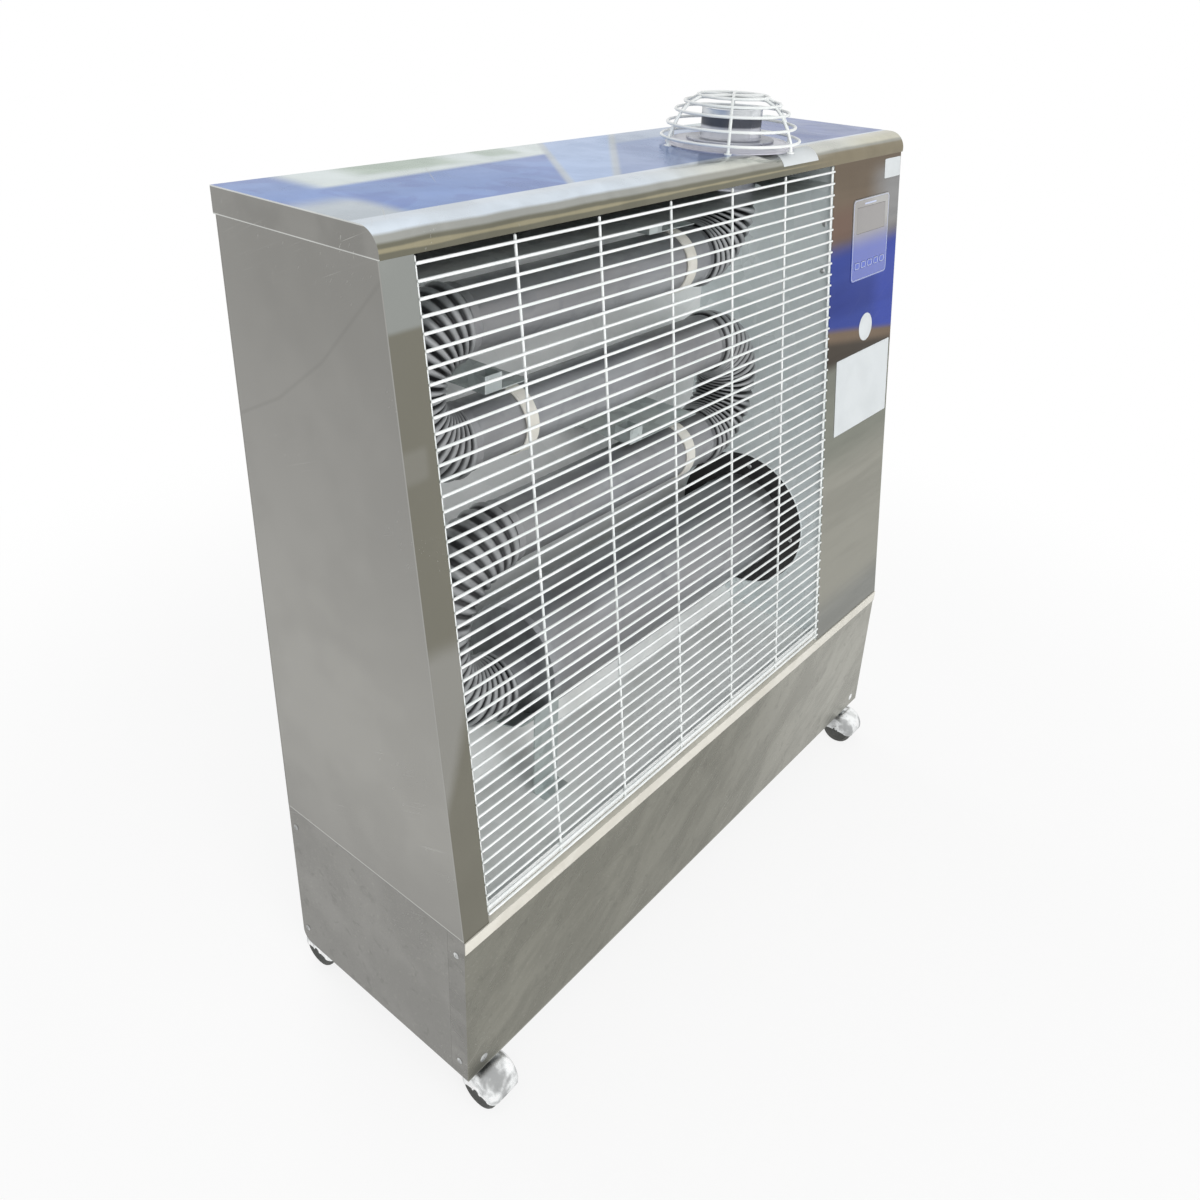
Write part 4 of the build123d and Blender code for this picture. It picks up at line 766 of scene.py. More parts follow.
def around(steps: int) -> np.ndarray:
    """Angles of equal steps once round, in radians."""
    return np.linspace(0, 2 * np.pi, steps, endpoint=False)


def lathe(profile: list | np.ndarray, centre: tuple, axis: tuple, sides: int = 48, closed: bool = False,
          waves: int = 0, depth: float = 0.0) -> Surface:
    """A profile turned once round an axis.

    Each profile point (radius, along) makes a circle at that distance along the axis, so the surface is
    centre + along * axis + radius * (cos t * u + sin t * v). With waves, the radius is less depth *
    (1 - cos(waves * t)) / 2.

    Args:
        profile: Radius and distance along the axis, one row a point.
        centre: Point on the axis from which distances are measured.
        axis: Direction of the axis.
        sides: Steps round the axis.
        closed: Whether the profile's last point joins its first.
        waves: Number of flutes round the shape.
        depth: Depth of the flutes.

    Returns:
        The surface.
    """
    profile = np.asarray(profile, float)
    along, first, second = across(axis)
    turn = around(sides)
    reach = np.maximum(profile[:, :1] - depth * (1 - np.cos(waves * turn)) / 2, 1e-7)
    ring = reach[:, :, None] * (np.cos(turn)[:, None] * first + np.sin(turn)[:, None] * second)
    points = np.array(centre, float) + profile[:, 1][:, None, None] * along + ring
    return grid(points, wrap_rows=closed, wrap_columns=True)


def swept_arc(profile: list, centre: tuple, first: float, last: float, steps: int = 40) -> Surface:
    """A closed profile carried round an axis along X from one angle to another, with closed ends.

    A profile point (x, r) goes to centre + x along X + r * (cos a along Y + sin a along Z).

    Args:
        profile: Distance along X and radius, one row a point.
        centre: Point on the axis.
        first: First angle in degrees.
        last: Last angle in degrees.
        steps: Steps along the arc.

    Returns:
        The surface.
    """
    profile = np.asarray(profile, float)
    angle = np.radians(np.linspace(first, last, steps))[:, None]
    x = np.broadcast_to(profile[:, 0], (steps, len(profile)))
    points = np.stack([x, profile[:, 1] * np.cos(angle), profile[:, 1] * np.sin(angle)], -1)
    band = grid(points + np.array(centre, float), wrap_columns=True)
    count = len(profile)
    end = steps * count
    return Surface(band.points, band.faces + [list(range(count)), list(range(end - count, end))[::-1]])


def rod(path: np.ndarray, flat: tuple, radius: np.ndarray | float, sides: int,
        closed: bool = False) -> Surface:
    """A round rod along a path that lies in one plane.

    The section at each point is spanned by the plane's normal and by the tangent crossed with it,
    so a section point is p + r * (cos t * normal + sin t * side).

    Args:
        path: Points of the centre line.
        flat: Normal of the plane that the path lies in.
        radius: One radius, or one for each path point.
        sides: Steps round the section.
        closed: Whether the path joins its start.

    Returns:
        The surface.
    """
    path = np.asarray(path, float)
    if closed:
        tangent = np.roll(path, -1, 0) - np.roll(path, 1, 0)
    else:
        tangent = np.gradient(path, axis=0)
    normal = np.array(flat, float) / np.linalg.norm(flat)
    side = np.cross(tangent, normal)
    side /= np.linalg.norm(side, axis=1)[:, None]
    turn = around(sides)
    reach = np.broadcast_to(np.asarray(radius, float), (len(path),))[:, None, None]
    ring = np.cos(turn)[None, :, None] * normal + np.sin(turn)[None, :, None] * side[:, None, :]
    return grid(path[:, None, :] + reach * ring, wrap_rows=closed, wrap_columns=True)


def straight_rod(start: tuple, end: tuple, radius: float, flat: tuple, sides: int = 10) -> Surface:
    """A straight rod with domed ends, whose radius follows a quarter circle at each end."""
    start, end = np.array(start, float), np.array(end, float)
    length = np.linalg.norm(end - start)
    turn = np.linspace(0.02, np.pi / 2, 4)
    lift = (1 - np.cos(turn)) * radius
    along = np.concatenate([lift, length - lift[::-1]])
    reach = np.concatenate([np.sin(turn), np.sin(turn)[::-1]]) * radius
    body = rod(start + (along / length)[:, None] * (end - start), flat, reach, sides)
    last = len(body.points)
    return Surface(body.points, body.faces + [list(range(sides))[::-1], list(range(last - sides, last))])


def rounded(corners: np.ndarray, radii: tuple[float, ...], steps: int = 6) -> np.ndarray:
    """A line in a plane with its inner corners rounded.

    Each corner is replaced by an arc of the given radius that touches both of its sides.

    Args:
        corners: Corner points, two values each.
        radii: Radius at each inner corner.
        steps: Points on each arc.

    Returns:
        Points of the rounded line.
    """
    corners = np.asarray(corners, float)
    out = [corners[:1]]
    for before_it, corner, after_it, radius in zip(corners, corners[1:], corners[2:], radii):
        inward = (before_it - corner) / np.linalg.norm(before_it - corner)
        onward = (after_it - corner) / np.linalg.norm(after_it - corner)
        half = np.arccos(np.clip(inward @ onward, -1, 1)) / 2
        reach = radius / np.tan(half)
        middle = corner + (inward + onward) / np.linalg.norm(inward + onward) * radius / np.sin(half)
        first, last = corner + inward * reach - middle, corner + onward * reach - middle
        share = np.linspace(0, 1, steps)[:, None]
        angle = np.arccos(np.clip(first @ last / radius**2, -1, 1))
        arc = (np.sin((1 - share) * angle) * first + np.sin(share * angle) * last) / np.sin(angle)
        out.append(middle + arc)
    out.append(corners[-1:])
    return np.vstack(out)


def rounded_box(width: float, height: float, radius: float, steps: int = 6) -> np.ndarray:
    """Closed outline of a rectangle about its centre, with a quarter circle at each corner."""
    turn = np.linspace(0, np.pi / 2, steps)
    arc = radius * np.stack([np.cos(turn), np.sin(turn)], 1)
    reach = np.array([width / 2 - radius, height / 2 - radius])
    quarters = []
    for cosine, sine, corner in ((1, 0, (1, 1)), (0, 1, (-1, 1)), (-1, 0, (-1, -1)), (0, -1, (1, -1))):
        quarters.append(reach * corner + arc @ np.array([[cosine, sine], [-sine, cosine]]))
    return np.vstack(quarters)


def prism(outline: np.ndarray, start: tuple, end: tuple, spread: tuple) -> Surface:
    """A closed outline carried from one place to another, with both ends closed.

    Args:
        outline: Closed outline, two values a point.
        start: Offset of the first end.
        end: Offset of the second end.
        spread: Two directions that the outline's values run along.

    Returns:
        The surface.
    """
    first, second = (np.array(v, float) for v in spread)
    flat = outline[:, :1] * first + outline[:, 1:] * second
    body = grid(np.stack([flat + np.array(start), flat + np.array(end)]), wrap_columns=True)
    count = len(outline)
    return Surface(body.points, body.faces + [list(range(count))[::-1], list(range(count, 2 * count))])


def screw_head(centre: tuple, axis: tuple, radius: float, height: float, washer: float = 0.0) -> Surface:
    """A domed head with a cross recess, closed underneath.

    The height over a point at radius r is height * (1 - fall * (r / radius)^3), less deep * height where
    one of the two bars of the cross passes. Its bars have a half width and a reach in shares of the radius.

    Args:
        centre: Middle of its seat.
        axis: Direction that the head faces.
        radius: Radius of the head.
        height: Height of the dome.
        washer: Radius of a flat washer under it, 0 for none.

    Returns:
        The surface.
    """
    axis, first, second = across(axis)
    turn = around(32)[None, :]
    pole, half, reach, deep, fall = 1e-4, 0.11, 0.5, 0.55, 0.75
    share = np.array([pole, 0.16, 0.3, 0.44, 0.52, 0.7, 0.85, 0.95, 1.0])[:, None]
    x, y = share * np.cos(turn), share * np.sin(turn)
    bar = np.minimum(np.abs(x), np.abs(y)) < half
    sunk = np.where(bar & (share < reach), deep, 0.0)
    lift = height * (1 - share**3 * fall - sunk)
    seat = np.zeros((1, turn.size))
    x, y = np.vstack([x, x[-1:], pole * x[-1:]]), np.vstack([y, y[-1:], pole * y[-1:]])
    lift = np.vstack([lift, seat, seat])
    flat = radius * (x[..., None] * first + y[..., None] * second)
    head = grid(np.array(centre) + flat + lift[..., None] * axis, wrap_columns=True)
    if washer:
        low, middle, high = 0.2 * height, 0.32 * height, 0.4 * height
        rim = [(radius, 0), (washer, 0), (washer, low), (washer * 0.94, middle), (radius * 0.9, high)]
        head = join(head, lathe(rim, centre, axis, 32, closed=True))
    return head


def add_object(name: str, data: bpy.types.ID) -> bpy.types.Object:
    """Makes an object of a mesh, camera or lamp and puts it in the scene."""
    item = bpy.data.objects.new(name, data)
    bpy.context.scene.collection.objects.link(item)
    return item


def make_piece(name: str, shape: Surface, slot: Slot, body: str = "heater", replaces: tuple[str, ...] = (),
               finish: str = "", sharp: float = 0.6, flat: bool = False, bevel: float = 0.0) -> None:
    """Turns a shape into a finished piece that rides on a body.

    Args:
        name: Name of the piece.
        shape: Its points and faces.
        slot: Material slot of the record.
        body: Body that it moves with.
        replaces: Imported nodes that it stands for.
        finish: Name of its own finish, or nothing for the slot's.
        sharp: Angle in radians above which an edge stays sharp.
        flat: Whether faces in one plane are joined first.
        bevel: Width of its rounded edges, 0 for none.
    """
    mesh = bpy.data.meshes.new(name)
    mesh.from_pydata(shape.points.tolist(), [], shape.faces)
    if shape.crest is not None:
        mesh.attributes.new("crest", "FLOAT", "POINT").data.foreach_set("value", shape.crest)
    welded = bmesh.new()
    welded.from_mesh(mesh)
    bmesh.ops.remove_doubles(welded, verts=welded.verts, dist=WELD_REACH)
    if flat:
        bmesh.ops.dissolve_limit(welded, angle_limit=FLAT_ANGLE, verts=welded.verts, edges=welded.edges)
    bmesh.ops.recalc_face_normals(welded, faces=welded.faces)
    welded.to_mesh(mesh)
    welded.free()
    mesh.shade_smooth()
    piece = add_object(name, mesh)
    if bevel:
        edges = piece.modifiers.new("rounded_edges", "BEVEL")
        edges.width, edges.segments, edges.angle_limit, edges.harden_normals = bevel, BEVEL_STEPS, sharp, True
    else:
        mesh.set_sharp_from_angle(angle=sharp)
    mesh.materials.append(MATERIALS[finish or slot])
    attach(piece, body)
    if replaces:
        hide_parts(*replaces)
    LOG.info("piece %s: %d faces", name, len(mesh.polygons))


MATERIALS: dict[object, bpy.types.Material] = {slot: finish.build() for slot, finish in FINISHES.items()}
MATERIALS.update({finish.name: finish.build() for finish in OWN_FINISHES})
SLOT_OF = {row["node"]: Slot(row["material_slot"]) for row in frame["record"]["subparts"]}
BODY_OF = {node: body for body, nodes in frame["record"]["behaviour"]["bodies"].items() for node in nodes}


def dress_packed_nodes() -> None:
    """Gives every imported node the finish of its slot."""
    for name, node in frame["nodes"].items():
        node.data.materials.clear()
        node.data.materials.append(MATERIALS[SLOT_OF[name]])
    LOG.info("dressed %d packed nodes", len(SLOT_OF))


def soften(node: str, finish: str = "", bevel: float = THIN_EDGE) -> None:
    """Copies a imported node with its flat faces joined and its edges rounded, and lets the copy replace it.

    Args:
        node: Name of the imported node.
        finish: Name of its own finish, or nothing for the slot's.
        bevel: Width of the rounded edges.
    """
    mesh = frame["nodes"][node].data
    points = np.zeros(len(mesh.vertices) * 3)
    mesh.vertices.foreach_get("co", points)
    faces = np.zeros(len(mesh.loops), int)
    mesh.loops.foreach_get("vertex_index", faces)
    shape = Surface(points.reshape(-1, 3), faces.reshape(-1, 3).tolist())
    slot, body = SLOT_OF[node], BODY_OF[node]
    make_piece(f"{node}_dressed", shape, slot, body, (node,), finish, FOLD_ANGLE, True, bevel)


def on_front(outline: np.ndarray, x: float, level: float, low: float, high: float) -> Surface:
    """A plate of a given outline on the leaning front, from low to high above its face.

    Args:
        outline: Closed outline about the plate's centre.
        x: X of the centre.
        level: Z of the centre.
        low: Height of the plate's back above the front plane.
        high: Height of its face.

    Returns:
        The surface.
    """
    up, out = LEAN.axes()
    centre = np.array([x, LEAN.y(level), level])
    return prism(outline, centre + out * low, centre + out * high, ((1, 0, 0), up))


@dataclass
class Cabinet:
    """Sheet-metal cabinet: softened folds, bare label plates and the rolled lip of the round hole.

    The plate and the tag are given as left, right, foot and top, the badge as x, z and radius, and the label
    on the lid's roll as left, right, first and last angle in radians.
    """

    plate: tuple = (0.294, 0.454, 0.591, 0.701)
    plate_corner: float = 0.0015
    badge: tuple = (0.376, 0.733, 0.0195)
    tag: tuple = (0.411, 0.4585, 0.930, 0.9555)
    tag_corner: float = 0.002
    film: float = 0.0003
    seat: float = 0.00001
    roll_radius: float = 0.022
    lid_front: float = -0.075
    lid_top: float = 0.986
    roll_label: tuple = (0.140, 0.222, 0.12, 1.22)
    hole: float = 0.105
    lip: float = 0.0010
    lip_out: float = 0.0006
    lip_back: float = 0.0008
    disc_edge: float = 0.97
    disc_dome: float = 1.6

    def front_label(self, place: tuple, corner: float, high: float) -> Surface:
        """A label on the leaning front, from its sides, foot and top."""
        x0, x1, z0, z1 = place
        return on_front(rounded_box(x1 - x0, z1 - z0, corner), (x0 + x1) / 2, (z0 + z1) / 2, 0.0, high)

    def labels(self) -> None:
        """Bare plates and stickers where the front carries them."""
        x, z, radius = self.badge
        dome = self.film * self.disc_dome
        face = [(radius * self.disc_edge, dome), (POLE, dome)]
        disc = [(POLE, 0), (radius, 0), (radius, self.film)] + face
        badge = lathe(disc, (x, LEAN.y(z), z), tuple(LEAN.axes()[1]), 64)
        x0, x1, first, last = self.roll_label
        turn = np.linspace(first, last, 16)
        arc, radius = np.stack([-np.sin(turn), np.cos(turn)], 1), self.roll_radius
        outline = np.vstack([arc * (radius + self.film), arc[::-1] * (radius + self.seat)])
        y, z = self.lid_front + radius, self.lid_top - radius
        shapes = {
            "bare_plate": self.front_label(self.plate, self.plate_corner, 2 * self.film),
            "round_badge": badge,
            "small_tag": self.front_label(self.tag, self.tag_corner, self.film),
            "roll_tag": prism(outline, (x0, y, z), (x1, y, z), ((0, 1, 0), (0, 0, 1))),
        }
        for name, shape in shapes.items():
            make_piece(name, shape, Slot.STRIP, finish="bare_label")

    def hole_lip(self) -> None:
        """Rolled lip round the hole of the partition, a half-round ring in front of the sheet."""
        turn = np.linspace(-np.pi / 2, np.pi / 2, 8)
        middle, back = self.hole + self.lip_out, self.lip_back
        profile = np.stack([middle + self.lip * np.sin(turn), -self.lip * np.cos(turn)], 1)
        profile = np.vstack([profile, [(middle + self.lip, back), (middle - self.lip, back)]])
        ring = lathe(profile, (PARTITION_X, PATH_Y, DRUM_LEVEL), (1, 0, 0), 96, closed=True)
        make_piece("hole_lip", ring, Slot.ZINC, finish="partition_zinc")

    def build(self) -> None:
        """Softens the folded sheets and adds what lies on them."""
        own = {
            "top_lid": "lid_stainless",
            "control_fascia": "fascia_stainless",
            "base_front_cover": "base_stainless",
            "base_pan": "pan_stainless",
            "left_inner_wall": "inner_wall_zinc",
            "burner_partition": "partition_zinc",
            "rear_panel": "pan_stainless",
        }
        plain = ["left_side_panel", "right_side_panel", "trim_strip", "heat_reflector", "top_heat_shield"]
        plain += ["power_inlet", "ignition_transformer", "control_board", "fuel_tank", "fuel_pump"]
        for node in list(own) + plain:
            thick = SLOT_OF[node] is Slot.STAINLESS and node != "rear_panel"
            soften(node, own.get(node, ""), THICK_EDGE if thick else THIN_EDGE)
        self.labels()
        self.hole_lip()


@dataclass
class Display:
    """Display film with its raised rim, window, touch keys and a plain light bar.

    The bar is given as width, height and corner, its place as steps across and up from the film's middle.
    """

    x: float = 0.376
    level: float = 0.857
    width: float = 0.105
    height: float = 0.109
    proud: float = 0.0008
    key_proud: float = 0.0012
    key_drop: float = 0.034
    key_pitch: float = 0.0185
    key_size: tuple = (0.013, 0.009)
    key_edge: float = 0.0003
    key_corner: float = 0.0024
    key_inset: float = 0.0012
    rim_inset: float = 0.003
    rim_corner: float = 0.005
    print_height: float = 0.0002
    keys: int = 5
    line: float = 0.0004
    bar: tuple = (0.034, 0.0022, 0.001)
    bar_place: tuple = (-0.004, 0.047)

    def outline_rod(self, x: float, level: float, size: tuple, corner: float, lift: float) -> Surface:
        """A thin round line along a rounded rectangle on the leaning front."""
        up, out = LEAN.axes()
        box = rounded_box(size[0], size[1], corner)
        centre = np.array([x, LEAN.y(level), level]) + out * lift
        path = centre + box[:, :1] * np.array([1.0, 0, 0]) + box[:, 1:] * up
        return rod(path, tuple(out), self.line, 8, True)

    def build(self) -> None:
        """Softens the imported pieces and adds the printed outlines."""
        for node in ("display_panel", "display_lens"):
            soften(node)
        up = LEAN.axes()[0]
        rim_size = (self.width - self.rim_inset, self.height - self.rim_inset)
        rim = self.outline_rod(self.x, self.level, rim_size, self.rim_corner, self.proud)
        make_piece("display_rim", rim, Slot.DISPLAY, finish="pale_print")
        aside, lift = self.bar_place
        high = self.proud + self.print_height
        bar = on_front(rounded_box(*self.bar), self.x + aside, self.level + lift * up[2], self.proud, high)
        make_piece("display_light", bar, Slot.DISPLAY, finish="pale_print")
        level = self.level - self.key_drop * up[2]
        size = tuple(side - self.key_inset for side in self.key_size)
        for i in range(self.keys):
            x = self.x + (i - (self.keys - 1) / 2) * self.key_pitch
            soften(f"touch_key_{i + 1}", bevel=self.key_edge)
            mark = self.outline_rod(x, level, size, self.key_corner, self.key_proud)
            make_piece(f"key_{i + 1}_mark", mark, Slot.KEY, f"key_{i + 1}", finish="pale_print")


@dataclass
class Fasteners:
    """Screw heads of the cabinet, grille, partition and drum flange.

    Sizes are radius, height and, for a head with a washer, the washer's radius. The grille's foot is given
    as its level and its inset behind the front plane. The ring is the drum flange's circle of screws.
    """

    radius: float = 0.0038
    height: float = 0.0014
    small: tuple = (0.003, 0.0012)
    half_width: float = 0.46
    half_depth: float = 0.1475
    side_levels: tuple = (0.084, 0.250)
    side_y: tuple = (0.137, -0.1345)
    rear_levels: tuple = (0.301, 0.937)
    rear_count: int = 4
    rear_x: float = 0.452
    partition_places: tuple = ((-0.069, 0.887), (-0.075, 0.827))
    ring_x: float = 0.2688
    ring_circle: float = 0.088
    ring_turn: float = 4.0
    foot_x: tuple = (-0.408, -0.218, -0.045, 0.135)
    foot_level: tuple = (0.293, 0.0045)
    washer_place: tuple = (0.436, 0.076)
    washer: tuple = (0.0034, 0.0012, 0.0055)

    def build(self) -> None:
        """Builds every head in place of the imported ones."""
        seats = []
        for side in (-1, 1):
            wall = side * self.half_width
            seats += [((wall, y, z), (side, 0, 0)) for y in self.side_y for z in self.side_levels]
            levels = np.linspace(*self.rear_levels, self.rear_count)
            seats += [((side * self.rear_x, self.half_depth, z), (0, 1, 0)) for z in levels]
        seats += [((PARTITION_X, y, z), (-1, 0, 0)) for y, z in self.partition_places]
        for turn in np.radians(self.ring_turn + 90 * np.arange(4)):
            y, z = PATH_Y + self.ring_circle * np.cos(turn), DRUM_LEVEL + self.ring_circle * np.sin(turn)
            seats.append(((self.ring_x, y, z), (-1, 0, 0)))
        level, inset = self.foot_level
        out, y = tuple(LEAN.axes()[1]), LEAN.y(level, inset)
        feet = [((foot, y, level), out) for foot in self.foot_x]
        x, z = self.washer_place
        corners = [((side * x, -self.half_depth, z), (0, -1, 0)) for side in (-1, 1)]
        heads = (
            ("cabinet_screw_heads", "cabinet_screws", seats, (self.radius, self.height)),
            ("grille_screw_heads", "grille_screws", feet, self.small),
            ("washer_screw_heads", "base_front_screws", corners, self.washer),
        )
        for name, node, places, size in heads:
            shape = join(*(screw_head(*place, *size) for place in places))
            make_piece(name, shape, Slot.PLATED, replaces=(node,), sharp=0.7)


@dataclass
class Grille:
    """Welded wire grille: cross wires over uprights, with a weld bead at each crossing.

    A bead is given as its radius, half its round part and half its length.
    """

    left: float = -0.425
    right: float = 0.268
    wire: float = 0.003
    forward: float = 0.0018
    first: float = 0.9533
    pitch: float = 0.01425
    count: int = 47
    foot: float = 0.288
    rise: float = 0.006
    uprights: int = 5
    slack: float = 0.0003
    bead_size: tuple = (0.0011, 0.0005, 0.0013)

    def wires(self) -> Surface:
        """All wires, each a straight rod with domed ends.

        Returns:
            The joined rods.
        """
        radius = self.wire / 2
        cross_inset = radius - self.forward
        levels = [self.first - i * self.pitch for i in range(self.count)] + [self.foot]
        shapes = []
        for z in levels:
            y = LEAN.y(z, cross_inset)
            shapes.append(straight_rod((self.left, y, z), (self.right, y, z), radius, (0, 0, 1)))
        span = self.right - self.left - self.wire - self.slack
        inset = cross_inset + self.wire
        low, high = self.foot - self.wire, self.first + self.rise
        for i in range(self.uprights + 2):
            x = self.left + radius + i * span / (self.uprights + 1)
            foot, top = (x, LEAN.y(low, inset), low), (x, LEAN.y(high, inset), high)
            shapes.append(straight_rod(foot, top, radius, (1, 0, 0)))
            shapes += [self.bead(x, z, cross_inset + radius) for z in levels]
        return join(*shapes)

    def bead(self, x: float, z: float, inset: float) -> Surface:
        """A small weld bead, a spindle across the two wires."""
        radius, flat, tip = self.bead_size
        profile = [(POLE, -tip), (radius, -flat), (radius, flat), (POLE, tip)]
        return lathe(profile, (x, LEAN.y(z, inset), z), (0, 1, 0), 6)

    def build(self) -> None:
        """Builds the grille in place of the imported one."""
        make_piece("grille_wires", self.wires(), SLOT_OF["front_grille"], replaces=("front_grille",))


@dataclass
class BurnerPath:
    """Emitter tubes, ribbed bends, elbow, drum, straps and the plate that carries the drum.

    A pitch is the step down from one tube's level to the next, a start the X where a bend begins. The drum's
    span is its left and right end. The plate is given as inner and outer radius, back and face. Straps are
    given as their X from the top tube down, with the heights of both their faces over the tube. A tube's
    bead begins, peaks and ends at its three places from the tube's end.
    """

    y: float = PATH_Y
    tube: float = 0.036
    wall: float = 0.0015
    crest: float = 0.0405
    top: float = 0.863
    left_pitch: float = 0.121
    right_pitch: float = 0.132
    lower_pitch: float = 0.198
    left_start: float = -0.316
    right_start: float = 0.123
    lower_start: float = -0.255
    elbow_start: float = 0.079
    elbow_radius: float = 0.067
    drum_radius: float = 0.070
    drum_span: tuple = (-0.232, 0.2718)
    drum_level: float = DRUM_LEVEL
    drum_wall: float = 0.002
    plate: tuple = (0.0702, 0.114, 0.2688, 0.2718)
    plate_chamfer: float = 0.0005
    strap_places: tuple = (0.032, -0.237, 0.062)
    strap_half: float = 0.009
    strap_seat: tuple = (0.0003, 0.0018)
    strap_turn: tuple = (84, 276)
    strap_tab: float = 0.0052
    bead: float = 0.0012
    bead_places: tuple = (0.006, 0.009, 0.012)
    ribs: int = 20
    rib_steps: int = 8
    rib_power: float = 0.7
    bend_sides: int = 40

    def plain_tube(self, low: float, high: float, level: float) -> Surface:
        """A tube with a rolled bead near each end and an open bore."""
        r, bead = self.tube, self.tube + self.bead
        near, top, far = self.bead_places
        outer = [(r, low), (r, low + near), (bead, low + top), (r, low + far)]
        outer += [(r, high - far), (bead, high - top), (r, high - near), (r, high)]
        inner = [(r - self.wall, high), (r - self.wall, low)]
        return lathe(outer + inner, (0, self.y, level), (1, 0, 0), 64, closed=True)

    def bend(self, x: float, z: float, radius: float, first: float, sweep: float, ribs: int) -> Surface:
        """A corrugated bend, with its crest value kept for each point.

        The section radius swings between root and crest along the arc as a flattened cosine, so that the
        crests are broad and the roots are narrow. The bore is a plain tube inside it.

        Args:
            x: X of the bend's centre.
            z: Z of the bend's centre.
            radius: Radius of the centre line.
            first: Angle of the first end in degrees.
            sweep: Angle that the bend turns through in degrees.
            ribs: Number of ribs.

        Returns:
            The closed surface.
        """
        share = np.linspace(0, 1, ribs * self.rib_steps + 1)
        wave = np.clip(0.5 - 0.5 * np.cos(2 * np.pi * ribs * share), 0, 1) ** self.rib_power
        reach = self.tube + (self.crest - self.tube) * wave
        arc = np.radians(first + sweep * share)
        turn = around(self.bend_sides)
        rows = []
        for angle, size in ((arc, reach), (arc[::-1], np.full_like(reach, self.tube - 2 * self.wall))):
            distance = radius + size[:, None] * np.cos(turn)
            px = x + distance * np.cos(angle)[:, None]
            pz = z + distance * np.sin(angle)[:, None]
            py = self.y + size[:, None] * np.sin(turn) + 0 * px
            rows.append(np.stack([px, py, pz], -1))
        bend = grid(np.concatenate(rows), wrap_rows=True, wrap_columns=True)
        bend.crest = np.repeat(np.concatenate([wave, 0 * wave]), turn.size)
        return bend

    def strap(self, place: float, level: float) -> Surface:
        """A band round the front half of a tube, with a rolled edge on each side and a tab on top."""
        inner, outer = (self.tube + lift for lift in self.strap_seat)
        half, tab = self.strap_half, self.strap_tab
        edge = [(half, outer), (half - 0.0012, outer + 0.0006), (half - 0.0025, outer)]
        profile = [(-half, inner), (half, inner)] + edge + [(-x, r) for x, r in edge[::-1]]
        band = swept_arc(profile, (place, self.y, level), *self.strap_turn)
        outline = np.array([(-half, 0.0), (half, 0.0), (half, tab), (-half, tab)])
        foot = np.array([place, self.y, level + inner])
        return join(band, prism(outline, foot, foot + [0, self.wall, 0], ((1, 0, 0), (0, 0, 1))))

    def drum(self) -> Surface:
        """The combustion drum with its seam beads and closed left end."""
        r, wall = self.drum_radius, self.drum_wall
        left, right = self.drum_span
        shell = [(POLE, left), (r - 0.004, left), (r - 0.001, left + 0.001), (r, left + 0.004)]
        shell += [(r + 0.0014, left + 0.008), (r, left + 0.012), (r, right - 0.03)]
        shell += [(r + 0.0012, right - 0.026), (r, right - 0.022), (r, right)]
        inside = [(r - wall, right), (r - wall, left + wall), (POLE, left + wall)]
        return lathe(shell + inside, (0, self.y, self.drum_level), (1, 0, 0), 72)

    def build(self) -> None:
        """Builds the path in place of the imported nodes."""
        middle = self.top - self.left_pitch
        lower = middle - self.right_pitch
        inlet = lower - self.lower_pitch
        tubes = {
            "upper_emitter_tube": (self.left_start, self.elbow_start, self.top),
            "middle_emitter_tube": (self.left_start, self.right_start, middle),
            "lower_emitter_tube": (self.lower_start, self.right_start, lower),
        }
        for name, sizes in tubes.items():
            make_piece(f"{name}_dressed", self.plain_tube(*sizes), Slot.TUBE, replaces=(name,))
        half_left, half_right, half_low = self.left_pitch / 2, self.right_pitch / 2, self.lower_pitch / 2
        above_it = self.top + self.elbow_radius
        bends = {
            "left_upper_bend": (self.left_start, middle + half_left, half_left, 90, 180, self.ribs),
            "right_bend": (self.right_start, lower + half_right, half_right, -90, 180, self.ribs),
            "left_lower_bend": (self.lower_start, inlet + half_low, half_low, 90, 180, self.ribs + 4),
            "flue_elbow": (self.elbow_start, above_it, self.elbow_radius, -90, 90, self.ribs // 2),
        }
        for name, sizes in bends.items():
            bend = self.bend(*sizes)
            make_piece(f"{name}_dressed", bend, Slot.TUBE, replaces=(name,), finish="ribbed_steel", sharp=1.2)
        r, low, high = self.tube, self.lower_start, self.drum_span[0] + self.drum_wall
        stub = [(r, low), (r, high), (r - self.wall, high), (r - self.wall, low)]
        inlet_stub = lathe(stub, (0, self.y, inlet), (1, 0, 0), 48, closed=True)
        make_piece("drum_dressed", join(self.drum(), inlet_stub), Slot.TUBE, replaces=("combustion_drum",))
        inner, outer, back, face = self.plate
        cut = self.plate_chamfer
        ring = [(inner, back), (outer, back), (outer, face - cut), (outer - cut, face), (inner, face)]
        flange = lathe(ring, (0, self.y, self.drum_level), (1, 0, 0), 96, closed=True)
        make_piece("drum_flange", flange, Slot.DARK, replaces=("drum_mounting_flange",))
        straps = [self.strap(x, z) for x, z in zip(self.strap_places, (self.top, middle, lower))]
        make_piece("straps_dressed", join(*straps), Slot.STRAP, replaces=("tube_straps",))
        for node in ("tube_hangers", "drum_stand"):
            soften(node)


